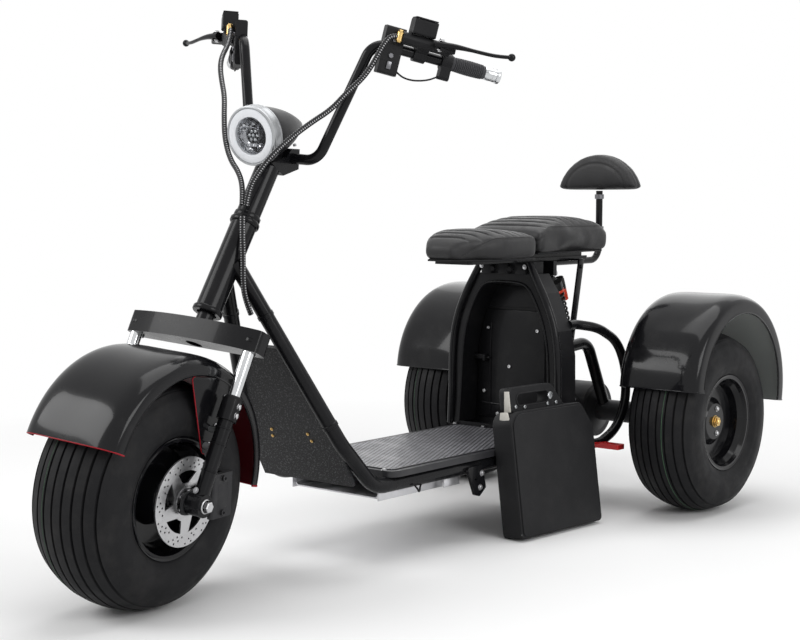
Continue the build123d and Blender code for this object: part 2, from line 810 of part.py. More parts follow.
make_saddle(
    [
        (saddle_nose_y, seat_base_z), (saddle_joint_y, seat_base_z),
        (saddle_joint_y, seat_base_z + saddle_joint_rise), (saddle_top_y, seat_base_z + saddle_top_rise),
        (saddle_nose_y + nose_round, seat_base_z + nose_top_rise),
        (saddle_nose_y, seat_base_z + nose_front_rise),
    ],
    [
        (-saddle_nose_half, saddle_nose_y), (saddle_nose_half, saddle_nose_y), (saddle_half, saddle_widen_y),
        (saddle_half, saddle_joint_y), (-saddle_half, saddle_joint_y), (-saddle_half, saddle_widen_y),
    ],
    "front_saddle",
)
make_saddle(
    [
        (saddle_joint_y + saddle_gap, rear_base_z), (saddle_end_y, rear_base_z),
        (saddle_end_y, rear_base_z + rear_end_rise), (saddle_end_y - rear_end_round, rear_base_z + rear_top_rise - 2),
        (rear_top_y, rear_base_z + rear_top_rise), (saddle_joint_y + saddle_gap, rear_base_z + rear_front_rise),
    ],
    [
        (-saddle_half, saddle_joint_y + saddle_gap), (saddle_half, saddle_joint_y + saddle_gap),
        (saddle_half, saddle_end_y), (-saddle_half, saddle_end_y),
    ],
    "rear_saddle",
)

# Backrest: pad and its post
back_y = 800.0
pad_half = 128.0
pad_bottom = 806.0
pad_thick = 52.0
post_radius = 9.0
with BuildPart() as backrest_pad:
    with BuildSketch(Plane(origin=(0, back_y + pad_thick, pad_bottom), x_dir=(1, 0, 0), z_dir=(0, -1, 0))):
        with BuildLine():
            Line((-pad_half, 0), (pad_half, 0))
            ThreePointArc((pad_half, 0), (0, 100), (-pad_half, 0))
        make_face()
    extrude(amount=pad_thick)
    fillet(backrest_pad.edges().group_by(Axis.Y)[0], radius=10)
keep(backrest_pad.part, "backrest_pad")
keep(
    tube(
        [
            (0, 600, plate_low_z - post_radius - seat_gap), (0, back_y + 26, plate_low_z - post_radius - seat_gap),
            (0, back_y + 26, pad_bottom - seat_gap),
        ],
        40, post_radius,
    ),
    "backrest_post",
)

# Rear axle housing with its drum and flanged ends, turned about the axle
axle_tube_radius = 28.0
axle_flange_radius = 40.0
axle_flange_thick = 12.0
axle_tube_inset = 108.0
shaft_inset = 15.0
drive_radius = 72.0
drum_left = 60.0
drum_right = -30.0
drum_cone_left = 10.0
drum_cone_right = 38.0
tube_end = rear_track / 2 - axle_tube_inset
shaft_end = rear_track / 2 - shaft_inset
with BuildPart() as axle_housing:
    with BuildSketch(wheel_plane(0, rear_axle_y)):
        with BuildLine():
            Polyline(
                (-shaft_end, 0), (-shaft_end, axle_radius), (-tube_end, axle_radius),
                (-tube_end, axle_flange_radius), (axle_flange_thick - tube_end, axle_flange_radius),
                (axle_flange_thick - tube_end, axle_tube_radius), (drum_right - drum_cone_right, axle_tube_radius),
                (drum_right, drive_radius - 14), (drum_right, drive_radius), (drum_left, drive_radius),
                (drum_left, drive_radius - 14), (drum_left + drum_cone_left, axle_tube_radius),
                (tube_end - axle_flange_thick, axle_tube_radius),
                (tube_end - axle_flange_thick, axle_flange_radius), (tube_end, axle_flange_radius),
                (tube_end, axle_radius), (shaft_end, axle_radius), (shaft_end, 0), close=True,
            )
        make_face()
    revolve(axis=wheel_axis(0, rear_axle_y))
keep(axle_housing.part, "axle_housing")

# Motor ahead of the drum, with a ring of cooling fins
motor_radius = 54.0
motor_half = 56.0
fin_depth = 5.0
fin_pitch = 14.0
motor_y = rear_axle_y - drive_radius - motor_radius - seat_gap
with BuildPart() as motor:
    with BuildSketch(Plane(origin=(-motor_half, motor_y, tyre_radius), z_dir=(1, 0, 0))):
        Circle(motor_radius)
    extrude(amount=2 * motor_half)
    for groove in range(-2, 3):
        with BuildSketch(Plane(origin=(groove * fin_pitch - 3, motor_y, tyre_radius), z_dir=(1, 0, 0))):
            Circle(motor_radius + 1)
            Circle(motor_radius - fin_depth, mode=Mode.SUBTRACT)
        extrude(amount=6, mode=Mode.SUBTRACT)
keep(motor.part, "motor")

# Pivot bar between the rails and the arched swing arms that carry the axle
arm_x = 86.0
arm_radius = 15.0
pivot_y = 446.0
pivot_radius = 13.0
arm_top_z = 412.0
with BuildPart() as swing_arms:
    add(tube(
        [
            (arm_x, pivot_y + pivot_radius + seat_gap, rail_z), (arm_x, 522, rail_z), (arm_x, 522, arm_top_z - 6),
            (arm_x, 640, arm_top_z + 4), (arm_x, rear_axle_y - 4, tyre_radius + 8),
        ],
        [30, 50, 50], arm_radius,
    ))
    with BuildSketch(Plane.YZ):
        with Locations((rear_axle_y, tyre_radius)):
            Circle(axle_tube_radius + seat_gap)
    extrude(amount=200, mode=Mode.SUBTRACT)
    mirror(about=Plane.YZ)
keep(swing_arms.part, "swing_arms")

# Shock absorbers, from the plate's lug down to a bar between the arms
shock_x = 55.0
shock_bar_y = 596.0
shock_bar_z = arm_top_z
shock_bar_radius = 8.0
eye_radius = 10.7
foot_eye_radius = 15.0
eye_half = 10.0
shock_head_z = 598.0
shock_foot = Vector(shock_x, shock_bar_y, shock_bar_z)
shock_head = Vector(shock_x, lug_y + lug_thick / 2 + seat_gap + eye_radius, shock_head_z)
shock_dir = (shock_head - shock_foot).normalized()
with BuildPart() as cross_bars:
    pivot_end = rail_x - tube_radius - seat_gap
    add(rod((-pivot_end, pivot_y, rail_z), (pivot_end, pivot_y, rail_z), pivot_radius))
    bar_end = arm_x - arm_radius - seat_gap
    add(rod((-bar_end, shock_bar_y, shock_bar_z), (bar_end, shock_bar_y, shock_bar_z), shock_bar_radius))
keep(cross_bars.part, "cross_bars")
shock_seat_radius = 22.0
damper_radius = 15.0
shock_rod_radius = 8.0
shock_end = (shock_head - shock_foot).length
reservoir_radius = 11.0
reservoir_length = 62.0
reservoir_back = shock_seat_radius + reservoir_radius - 4
shock_plane = Plane(origin=shock_foot, x_dir=shock_dir.cross(Vector(1, 0, 0)), z_dir=(1, 0, 0))
with BuildPart() as shocks:
    with BuildSketch(shock_plane):
        with BuildLine():
            foot = shock_bar_radius + seat_gap + 2
            Polyline(
                (0, foot), (shock_rod_radius + 3, foot), (shock_rod_radius + 3, foot + 14), (shock_seat_radius, foot + 18),
                (shock_seat_radius, foot + 24), (damper_radius, foot + 28), (damper_radius, shock_end - 52),
                (shock_seat_radius, shock_end - 50), (shock_seat_radius, shock_end - 26),
                (shock_rod_radius, shock_end - 20), (shock_rod_radius, shock_end), (0, shock_end), close=True,
            )
        make_face()
    revolve(axis=Axis(shock_foot, shock_dir))
    with BuildSketch(Plane(
        origin=shock_foot + shock_plane.x_dir * reservoir_back + shock_dir * (shock_end - 26 - reservoir_length),
        z_dir=shock_dir,
    )):
        Circle(reservoir_radius)
    extrude(amount=reservoir_length)
    with BuildSketch(Plane.YZ.offset(shock_x - eye_half)):
        with Locations((shock_head.Y, shock_head.Z)):
            Circle(eye_radius)
        with Locations((shock_bar_y, shock_bar_z)):
            Circle(foot_eye_radius)
    extrude(amount=2 * eye_half)
    with BuildSketch(Plane.YZ.offset(shock_x - eye_half - 1)):
        with Locations((shock_bar_y, shock_bar_z)):
            Circle(shock_bar_radius + seat_gap)
    extrude(amount=2 * eye_half + 2, mode=Mode.SUBTRACT)
    mirror(about=Plane.YZ)
keep(shocks.part, "shocks")

# Side hoops: from the tower's back, out beside the arms and round to the ends of the deck rails
hoop_to_tyre = 87.0
hoop_x = rear_track / 2 - rear_tyre_half - hoop_to_tyre
hoop_points = [
    (146, tower_y + tower_depth + seat_gap, 474), (146, 496, 474), (hoop_x - 4, 550, 464),
    (hoop_x, 636, 424), (hoop_x, 680, 350), (hoop_x, 680, 262), (hoop_x, 636, 198),
    (hoop_x - 6, 560, 167), (rail_x, 524, rail_z), (rail_x, rail_back_y + seat_gap, rail_z),
]
with BuildPart() as side_hoops:
    add(smooth_tube(hoop_points, hoop_radius))
    mirror(about=Plane.YZ)
keep(side_hoops.part, "side_hoops")

# Fender stays from the axle housing up to the rear fenders
stay_radius = 6.0
stay_x = rear_track / 2 - rear_fender_half - stay_radius - seat_gap
with BuildPart() as fender_stays:
    stay_top = rear_centre.Z + rear_fender_r - 35
    stay_foot = tyre_radius + axle_flange_radius + seat_gap
    add(rod((stay_x, rear_axle_y, stay_foot), (stay_x, rear_axle_y, stay_top), stay_radius))
    mirror(about=Plane.YZ)
keep(fender_stays.part, "fender_stays")

# Passenger foot pegs on the side hoops
peg_y = 556.0
with BuildPart() as peg_trimmer:
    with BuildSketch(Plane.XY.offset(rail_z - 60)):
        with Locations((hoop_x - 36, peg_y)):
            Rectangle(60, 80)
    extrude(amount=120)
peg_trim = peg_trimmer.part
peg_length = 72.0
peg_wide = 32.0
peg_thick = 12.0
peg_z = 168.0
with BuildPart() as foot_pegs:
    with BuildSketch(Plane.XY.offset(peg_z - peg_thick / 2)):
        with Locations((hoop_x - 6 + peg_length / 2, peg_y)):
            RectangleRounded(peg_length, peg_wide, 5)
        with Locations((hoop_x + 14 + (peg_length - 20) / 2, peg_y)):
            SlotOverall(peg_length - 36, peg_wide - 18, mode=Mode.SUBTRACT)
    extrude(amount=peg_thick)
    add(smooth_tube(hoop_points, hoop_radius + seat_gap), mode=Mode.SUBTRACT)
    add(peg_trim, mode=Mode.SUBTRACT)
    mirror(about=Plane.YZ)
keep(foot_pegs.part, "foot_pegs")

# Battery, lifted out of the tower: it stands on the ground and leans on the tower's left side
battery_lean = 7.8
battery_turn = 4.4
handle_rise = 56.0
handle_length = 190.0
battery_foot = Vector(189.7, 136, 0)
battery_ahead = Vector(math.sin(math.radians(battery_turn)), math.cos(math.radians(battery_turn)), 0)
battery_plane = Plane(origin=battery_foot, x_dir=battery_ahead, z_dir=battery_ahead.cross(Vector(0, 0, 1)))
with BuildPart() as battery_case:
    with BuildSketch(battery_plane):
        with BuildLine():
            Polyline(
                (0, 0), (battery_length, 0), (battery_length, battery_height - 60),
                (battery_length - 40, battery_height), (20, battery_height), (0, battery_height - 20),
                close=True,
            )
        make_face()
    extrude(amount=battery_thick)
    with BuildSketch(battery_plane.offset(battery_thick * 0.2)):
        with BuildLine():
            Polyline(
                (20, battery_height - 2), (handle_length + 24, battery_height - 2),
                (handle_length - 20, battery_height + handle_rise), (20, battery_height + handle_rise), close=True,
            )
        make_face()
        fillet(vertices().group_by(Axis.Y)[-1], radius=14)
        with Locations((handle_length / 2 + 4, battery_height + handle_rise * 0.46)):
            SlotOverall(handle_length * 0.62, handle_rise * 0.5, mode=Mode.SUBTRACT)
    extrude(amount=battery_thick * 0.6)
keep(battery_case.part.rotate(Axis(battery_foot, battery_ahead), -battery_lean), "battery_case")

# Braided hoses
hose_radius = 4.5

# The upper pair turns with the bar and meets in front of the stem
left_route = [
    (221.3, -303.5, 1132.8), (207, -319, 1137), (198, -331, 1118), (190, -342, 1092), (179, -349, 1066),
    (162, -353, 1042), (142, -373, 1014), (124, -398, 978), (100, -433, 949), (80, -471, 916),
    (62, -508, 879), (42, -520, 844), (28, -529, 812), (26, -533, 777),
]
right_route = [
    (-221.3, -303.5, 1132.8), (-207, -319, 1137), (-197, -334, 1118), (-186, -354, 1098),
    (-174, -386, 1074), (-158, -410, 1050), (-136, -430, 1022), (-110, -450, 990), (-88, -476, 948),
    (-72, -490, 904), (-48, -500, 864), (-14, -510, 838), (8, -524, 808), (14, -532, 777),
]
with BuildPart() as hoses_upper:
    add(smooth_tube(left_route, hose_radius))
    add(smooth_tube(right_route, hose_radius))
keep_turned(hoses_upper.part, "hoses_upper")

# The lower pair runs down the left of the head tube and along the left down tube
with BuildPart() as hoses_lower:
    add(smooth_tube([
        (33, -540, 753), (38, -546, 716), (40, -546, 672), (43, -550, 628), (45, -548, 590), (48, -533, 556),
    ], hose_radius))
keep(hoses_lower.part, "hoses_lower")
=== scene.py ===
import bpy
import bmesh
from math import atan2, cos, exp, hypot, pi, radians, sin, sqrt
from mathutils import Matrix, Vector
from mathutils.bvhtree import BVHTree


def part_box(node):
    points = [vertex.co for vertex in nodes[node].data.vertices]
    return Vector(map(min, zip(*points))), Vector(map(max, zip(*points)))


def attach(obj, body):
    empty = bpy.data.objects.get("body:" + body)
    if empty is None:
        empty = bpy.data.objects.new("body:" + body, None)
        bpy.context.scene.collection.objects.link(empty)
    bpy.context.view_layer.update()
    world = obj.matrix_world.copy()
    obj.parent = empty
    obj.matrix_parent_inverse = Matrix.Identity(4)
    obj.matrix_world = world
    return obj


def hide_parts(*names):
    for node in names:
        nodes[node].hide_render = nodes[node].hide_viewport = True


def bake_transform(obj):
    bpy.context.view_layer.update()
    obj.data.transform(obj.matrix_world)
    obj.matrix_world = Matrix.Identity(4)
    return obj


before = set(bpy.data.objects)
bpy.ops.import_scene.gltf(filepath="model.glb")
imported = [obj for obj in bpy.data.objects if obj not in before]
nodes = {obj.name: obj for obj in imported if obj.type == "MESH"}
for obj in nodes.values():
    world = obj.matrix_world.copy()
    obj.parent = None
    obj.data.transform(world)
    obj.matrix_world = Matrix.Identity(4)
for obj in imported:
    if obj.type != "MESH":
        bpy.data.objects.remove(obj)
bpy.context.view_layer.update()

# Points are written in millimetres, in the CAD frame. Points of the steering group are written
# for straight steering and turned with it.
REST, RAKE = radians(9.5), radians(31)
HEAD = Vector((0, -608, 562))
HEAD_DIR = Vector((0, sin(RAKE), cos(RAKE)))
TURN = Matrix.Translation(HEAD) @ Matrix.Rotation(REST, 4, HEAD_DIR) @ Matrix.Translation(-HEAD)
X, Y, Z = Vector((1, 0, 0)), Vector((0, 1, 0)), Vector((0, 0, 1))
SIDES = ((1, "left"), (-1, "right"))
TYRE_R = 228
FRONT_HUB = Vector((0, -782, TYRE_R))
FORK_UP = Vector((0, 0.4226, 0.9063))


def placed(point, body):
    """A written point in metres, turned with the steering where its body turns."""
    point = Vector(point)
    if body in ("steering", "front_wheel"):
        point = TURN @ point
    return point / 1000


def around(count, first=0.0):
    """Angles spaced evenly around a circle."""
    return [first + 2 * pi * k / count for k in range(count)]


def polar(radius, a):
    return radius * cos(a), radius * sin(a)


def spoke(radius, a):
    """A vector square to X, at an angle about it."""
    return Vector((0, *polar(radius, a)))


def share(value, low, high):
    """How far a value has come from low to high, kept between 0 and 1."""
    return min(1, max(0, (value - low) / (high - low)))


# Camera, lights and world
def linked(name, data, place, back):
    """An object at its place, with its back to the given direction."""
    ob = bpy.data.objects.new(name, data)
    bpy.context.collection.objects.link(ob)
    ob.location = place
    ob.rotation_mode = "QUATERNION"
    ob.rotation_quaternion = back.to_track_quat("Z", "Y")
    return ob


view_turn, view_rise = radians(40), radians(5.2)
back = Vector((sin(view_turn) * cos(view_rise), -cos(view_turn) * cos(view_rise), sin(view_rise)))
camera = linked("camera", bpy.data.cameras.new("camera"), (2.2289, -2.6670, 0.7969), back)
camera.data.sensor_width = 36
camera.data.lens = 68.26
camera.data.shift_y = 0.0151
camera.data.clip_end = 100
bpy.context.scene.camera = camera
bpy.context.scene.view_settings.view_transform = "Standard"

for name, place, target, size, watts in (
    ("key", (-2.2, -3.4, 3.2), (0, 0, 0.5), (2.6, 2.0), 90),
    ("side", (4.2, -0.4, 2.2), (0, 0, 0.5), (2.6, 1.8), 70),
    ("top", (0.2, 0.6, 4.0), (0, 0, 0), (3.2, 3.2), 80),
    ("rear", (-1.5, 4.2, 2.6), (0, 0, 0.6), (4.5, 3.0), 30),
):
    light = bpy.data.lights.new(name, "AREA")
    light.shape = "RECTANGLE"
    light.size, light.size_y = size
    light.energy = watts
    linked(name, light, place, Vector(place) - Vector(target))


def plug(tree, socket, value):
    """Links a socket to another one, or sets it to a number, a vector or a colour."""
    if isinstance(value, bpy.types.NodeSocket):
        tree.links.new(value, socket)
    else:
        socket.default_value = value


def add_node(tree, kind, inputs, **settings):
    node = tree.nodes.new("ShaderNode" + kind)
    for key, value in settings.items():
        setattr(node, key, value)
    for key, value in inputs.items():
        plug(tree, node.inputs[key], value)
    return node


def seen_rays(tree):
    """One for rays from the camera, off a gloss or through glass, and zero for the rest."""
    kinds = add_node(tree, "LightPath", {}).outputs
    seen = kinds["Is Camera Ray"]
    for kind in ("Is Glossy Ray", "Is Transmission Ray"):
        seen = add_node(tree, "Math", {0: seen, 1: kinds[kind]}, operation="MAXIMUM").outputs[0]
    return seen


world = bpy.data.worlds.new("world")
bpy.context.scene.world = world
world.use_nodes = True
tree = world.node_tree
tree.nodes.clear()
strength = add_node(tree, "MapRange", {"Value": seen_rays(tree), "To Min": 0.42, "To Max": 1.0})
sky = add_node(tree, "Background", {"Color": (1, 1, 1, 1), "Strength": strength.outputs["Result"]})
add_node(tree, "OutputWorld", {0: sky.outputs[0]})


# Materials
class Paint:
    """A principled material whose colour, roughness and bump come from procedural nodes."""

    def __init__(self, name, color, rough, metal=0.0, coat=0.0, sheen=0.0, level=0.5):
        self.material = bpy.data.materials.new(name)
        self.material.use_nodes = True
        self.tree = self.material.node_tree
        self.shader = self.tree.nodes["Principled BSDF"]
        self.coord = self.add("TexCoord", {}).outputs["Object"]
        self.color, self.rough, self.normal = (*color, 1), rough, None
        self.give({"Metallic": metal, "Coat Weight": coat, "Coat Roughness": 0.06,
                   "Sheen Weight": sheen, "Specular IOR Level": level})

    def add(self, kind, inputs, **settings):
        return add_node(self.tree, kind, inputs, **settings)

    def give(self, inputs):
        for key, value in inputs.items():
            plug(self.tree, self.shader.inputs[key], value)

    def math(self, kind, *values):
        return self.add("Math", dict(enumerate(values)), operation=kind).outputs[0]

    def noise(self, scale, detail=3.0, rough=0.55, stretch=None):
        vector = self.coord
        if stretch:
            vector = self.add("Mapping", {"Vector": vector, "Scale": stretch}).outputs[0]
        inputs = {"Vector": vector, "Scale": scale, "Detail": detail, "Roughness": rough}
        return self.add("TexNoise", inputs).outputs["Fac"]

    def cells(self, scale):
        return self.add("TexVoronoi", {"Vector": self.coord, "Scale": scale}).outputs["Distance"]

    def ramp(self, value, low, high, to_low=0.0, to_high=1.0):
        inputs = {"Value": value, "From Min": low, "From Max": high, "To Min": to_low, "To Max": to_high}
        return self.add("MapRange", inputs).outputs["Result"]

    def mix(self, mask, low, high, amount, other):
        """Lays another colour over the first, by an amount that grows as the mask goes from low to high."""
        inputs = {"Factor": self.ramp(mask, low, high, 0, amount), 6: self.color, 7: (*other, 1)}
        self.color = self.add("Mix", inputs, data_type="RGBA").outputs[2]

    def bump(self, height, strength, distance):
        inputs = {"Height": height, "Strength": strength, "Distance": distance}
        if self.normal is not None:
            inputs["Normal"] = self.normal
        self.normal = self.add("Bump", inputs).outputs[0]

    def done(self):
        self.give({"Base Color": self.color, "Roughness": self.rough})
        if self.normal is not None:
            self.give({"Normal": self.normal})
        return self.material


def enamel(name, color, rough, coat, dust=0.12, grain=0.0, metal=0.0, level=0.16):
    p = Paint(name, color, rough, metal, coat, level=level)
    p.rough = p.ramp(p.noise(9, 5), 0.3, 0.75, rough * 0.8, rough * 1.5)
    p.mix(p.noise(14, 6, 0.65), 0.52, 0.85, dust, (0.09, 0.088, 0.086))
    p.mix(p.noise(900, 2), 0.72, 0.76, dust * 1.4, (0.3, 0.3, 0.3))
    p.bump(p.noise(260, 2), 0.05 + grain, 0.0006)
    if grain:
        p.bump(p.cells(1100), grain, 0.0004)
    return p.done()


def metal(name, color, rough, stretch=(1, 1, 1), scale=400, depth=0.08):
    p = Paint(name, color, rough, 1.0)
    p.rough = p.ramp(p.noise(30, 4), 0.3, 0.7, rough * 0.7, rough * 1.6)
    p.mix(p.noise(22, 5), 0.45, 0.8, 0.35, tuple(c * 0.6 for c in color))
    p.bump(p.noise(scale, 3, 0.6, stretch), depth, 0.0003)
    return p.done()


def rubber(name, color, rough, dust=0.25):
    p = Paint(name, color, rough, level=0.16)
    p.rough = p.ramp(p.noise(25, 4), 0.3, 0.7, rough * 0.85, min(1, rough * 1.15))
    p.mix(p.noise(16, 7, 0.7), 0.48, 0.8, dust, (0.06, 0.057, 0.054))
    p.bump(p.noise(700, 3), 0.18, 0.0006)
    p.bump(p.noise(60, 4), 0.08, 0.002)
    return p.done()


gloss_black = enamel("gloss_black", (0.005, 0.005, 0.006), 0.16, 0.2, level=0.12)
frame_black = enamel("frame_black", (0.006, 0.006, 0.007), 0.24, 0.14, level=0.1)
tower_black = enamel("tower_black", (0.008, 0.008, 0.009), 0.36, 0.06, grain=0.06, level=0.12)
plastic_black = enamel("plastic_black", (0.009, 0.009, 0.01), 0.46, 0.0, grain=0.16)
case_black = enamel("case_black", (0.014, 0.014, 0.015), 0.5, 0.0, dust=0.08, grain=0.2)
rim_black = enamel("rim_black", (0.004, 0.004, 0.005), 0.16, 0.2, dust=0.05)
shock_black = enamel("shock_black", (0.01, 0.01, 0.01), 0.3, 0.2)
motor_metal = enamel("motor_metal", (0.03, 0.03, 0.032), 0.42, 0.05, dust=0.3, grain=0.12, metal=0.3)
chrome = metal("chrome", (0.6, 0.61, 0.62), 0.12, depth=0.03)
satin = metal("satin", (0.4, 0.41, 0.42), 0.3, scale=900, depth=0.12)
steel = metal("steel", (0.55, 0.55, 0.56), 0.28, scale=900, depth=0.15)
dark_steel = metal("dark_steel", (0.16, 0.16, 0.17), 0.34)
brass = metal("brass", (0.72, 0.5, 0.2), 0.28)
tray_metal = metal("tray_metal", (0.6, 0.6, 0.62), 0.4, stretch=(1, 20, 1), scale=120)
red_metal = enamel("red_metal", (0.62, 0.016, 0.018), 0.28, 0.4, dust=0.08)
shock_red = enamel("shock_red", (0.55, 0.04, 0.012), 0.32, 0.3, dust=0.08)
red_line = enamel("red_line", (0.3, 0.004, 0.012), 0.35, 0.2, dust=0.05)
red_lining = enamel("red_lining", (0.085, 0.004, 0.008), 0.4, 0.1, dust=0.2)
grey_lining = enamel("grey_lining", (0.3, 0.315, 0.305), 0.42, 0.1, dust=0.2)
tyre_rubber = rubber("tyre_rubber", (0.009, 0.009, 0.01), 0.6)
grip_rubber = rubber("grip_rubber", (0.05, 0.05, 0.054), 0.55, dust=0.15)
green_line = rubber("green_line", (0.05, 0.11, 0.06), 0.6, dust=0.3)

# Leather: pebbled cells, fine creases and a faint sheen
p = Paint("leather", (0.013, 0.013, 0.014), 0.42, sheen=0.05, level=0.3)
p.rough = p.ramp(p.noise(40, 4), 0.3, 0.7, 0.36, 0.55)
p.mix(p.cells(700), 0.0, 0.5, 0.35, (0.025, 0.0245, 0.025))
p.mix(p.noise(12, 5), 0.5, 0.8, 0.25, (0.04, 0.039, 0.04))
p.bump(p.cells(620), 0.35, 0.0007)
p.bump(p.noise(120, 5, 0.6), 0.12, 0.0012)
leather = p.done()

p = Paint("thread", (0.05, 0.05, 0.052), 0.7)
p.mix(p.noise(3000, 1), 0.4, 0.6, 0.5, (0.02, 0.02, 0.02))
p.bump(p.noise(2500, 1, 0.5, (1, 3, 1)), 0.3, 0.0002)
thread = p.done()

# Deck: staggered raised dots, painted pale on their tops as a painted highlight
p = Paint("deck_dots", (0.024, 0.024, 0.027), 0.42, coat=0.1, level=0.3)
across, along, up = p.add("SeparateXYZ", {0: p.coord}).outputs
PITCH, DOT = (0.0115, 0.012), (0.0044, 0.0036)
row = p.math("DIVIDE", p.math("ADD", along, 5.0), PITCH[1])
stagger = p.math("MULTIPLY", p.math("MODULO", p.math("FLOOR", row), 2.0), 0.5)
column = p.math("ADD", p.math("DIVIDE", p.math("ADD", across, 5.0), PITCH[0]), stagger)
squares = []
for place, pitch, dot in zip((column, row), PITCH, DOT):
    off = p.math("MULTIPLY", p.math("SUBTRACT", p.math("FRACT", place), 0.5), pitch / dot)
    squares.append(p.math("MULTIPLY", off, off))
dots = p.ramp(p.math("SQRT", p.math("ADD", *squares)), 0.75, 1.1, 1.0, 0.0)
for kind, value, edge in (("LESS_THAN", p.math("ABSOLUTE", across), 0.141), ("GREATER_THAN", along, -0.207),
                          ("GREATER_THAN", up, 0.2062)):
    dots = p.math("MULTIPLY", dots, p.math(kind, value, edge))
# Painted highlight: the raised dots are painted pale where their tops catch the light, more in some patches
# than others
dot_highlight = p.math("MULTIPLY", dots, p.ramp(p.noise(30, 3), 0.35, 0.6, 0.7, 1.0))
p.mix(dot_highlight, 0.0, 1.0, 1.0, (0.4, 0.4, 0.43))
p.mix(p.noise(11, 6, 0.65), 0.5, 0.85, 0.3, (0.07, 0.068, 0.066))
p.rough = p.ramp(p.noise(18, 4), 0.3, 0.7, 0.3, 0.55)
p.bump(dots, 0.9, 0.0016)
p.bump(p.noise(600, 2), 0.1, 0.0004)
deck_dots = p.done()

# Leg shield: dark grey with pale specks
p = Paint("speckled", (0.012, 0.012, 0.013), 0.42, coat=0.04, level=0.14)
p.mix(p.noise(300, 2), 0.56, 0.64, 0.8, (0.09, 0.09, 0.094))
p.mix(p.noise(520, 1), 0.6, 0.66, 0.7, (0.004, 0.004, 0.004))
p.mix(p.noise(8, 5), 0.45, 0.8, 0.3, (0.03, 0.03, 0.032))
p.bump(p.noise(300, 2), 0.35, 0.0008)
speckled = p.done()

p = Paint("cream", (0.62, 0.6, 0.55), 0.5)
p.mix(p.noise(60, 4), 0.4, 0.8, 0.35, (0.4, 0.38, 0.34))
p.bump(p.noise(500, 2), 0.1, 0.0004)
cream = p.done()

p = Paint("halo", (0.85, 0.87, 0.9), 0.3, coat=0.4)
p.mix(p.noise(200, 2), 0.4, 0.7, 0.2, (0.7, 0.72, 0.75))
p.bump(p.noise(300, 1), 0.05, 0.0003)
halo = p.done()

p = Paint("reflector", (0.72, 0.73, 0.76), 0.08, 1.0)
p.rough = p.ramp(p.noise(60, 2), 0.3, 0.7, 0.05, 0.14)
p.mix(p.cells(55), 0.0, 0.6, 0.8, (0.18, 0.18, 0.19))
p.bump(p.cells(70), 0.9, 0.004)
reflector = p.done()

p = Paint("lens_clear", (0.93, 0.95, 0.96), 0.03)
p.give({"Transmission Weight": 1.0, "IOR": 1.3})
p.bump(p.noise(60, 2), 0.03, 0.0004)
p.rough = p.ramp(p.noise(20, 3), 0.3, 0.7, 0.01, 0.05)
lens_clear = p.done()

# Braid: crossing black and pale strands, drawn along the hose by its UV map
p = Paint("braid", (0.006, 0.006, 0.007), 0.5, coat=0.1, level=0.25)
along, turn = p.add("SeparateXYZ", {0: p.add("UVMap", {}).outputs[0]}).outputs[:2]
winding = p.math("MULTIPLY", along, 0.62), p.math("MULTIPLY", turn, 4 * pi)
weave = p.math("MULTIPLY", *(p.math("SINE", p.math(kind, *winding)) for kind in ("ADD", "SUBTRACT")))
p.mix(weave, 0.5, 0.72, 0.95, (0.5, 0.5, 0.51))
p.bump(weave, 0.5, 0.0008)
p.bump(p.noise(1500, 1), 0.2, 0.0003)
braid = p.done()

# Each slot and the materials it is looked up for, where a piece doesn't name another; piece() finds it but
# keeps it nowhere
SLOTS = {
    "brake_steel": (steel, brass),
    "chrome": (chrome, satin, halo, reflector),
    "grip_grey": (grip_rubber,),
    "hose": (braid,),
    "leather": (leather, thread),
    "lens_glass": (lens_clear,),
    "red_metal": (shock_red, red_line, red_lining),
    "rim_black": (rim_black,),
    "tray_grey": (tray_metal,),
    "tyre": (tyre_rubber, green_line),
}
SHARP = radians(38)


# Building pieces
def piece(name, shape, material, body="chassis", slot=None, smooth=True, replaces=None, rides=True):
    """A named piece of one shape or a list of them, smooth but for its sharp edges."""
    verts, faces = merged(shape) if isinstance(shape, list) else shape
    mesh = bpy.data.meshes.new(name)
    mesh.from_pydata([placed(v, body) for v in verts], [], faces)
    mesh.validate()
    bm = bmesh.new()
    bm.from_mesh(mesh)
    bmesh.ops.recalc_face_normals(bm, faces=bm.faces)
    bm.normal_update()
    for face in bm.faces:
        face.smooth = smooth
    for edge in bm.edges:
        if smooth and len(edge.link_faces) == 2 and edge.calc_face_angle(0) > SHARP:
            edge.smooth = False
    bm.to_mesh(mesh)
    bm.free()
    mesh.materials.append(material)
    ob = bpy.data.objects.new(name, mesh)
    bpy.context.collection.objects.link(ob)
    if rides:
        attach(ob, body)
    slot = slot or next((key for key, group in SLOTS.items() if material in group), None)
    if replaces:
        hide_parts(replaces)
    return ob


def merged(shapes):
    verts, faces = [], []
    for v, f in shapes:
        base = len(verts)
        verts += v
        faces += [tuple(i + base for i in face) for face in f]
    return verts, faces


def frame_of(axis):
    axis = Vector(axis).normalized()
    side = (axis.cross(Z) if abs(axis.z) < 0.9 else axis.cross(X)).normalized()
    return axis, side, axis.cross(side)


def lathe(profile, origin, axis, segments=48, closed=False):
    """Rings of (along, radius) points turned about an axis. A radius of 0 makes a single point."""
    axis, side, up = frame_of(axis)
    verts, faces, rings = [], [], []
    for along, radius in profile:
        turns = around(segments if radius else 1)
        rings.append(range(len(verts), len(verts) + len(turns)))
        verts += [Vector(origin) + axis * along + (side * cos(a) + up * sin(a)) * radius for a in turns]
    for a, b in list(zip(rings, rings[1:])) + ([(rings[-1], rings[0])] if closed else []):
        for i in range(segments):
            j = (i + 1) % segments
            corners = a[i % len(a)], a[j % len(a)], b[j % len(b)], b[i % len(b)]
            faces.append(tuple(dict.fromkeys(corners)))
    return verts, faces


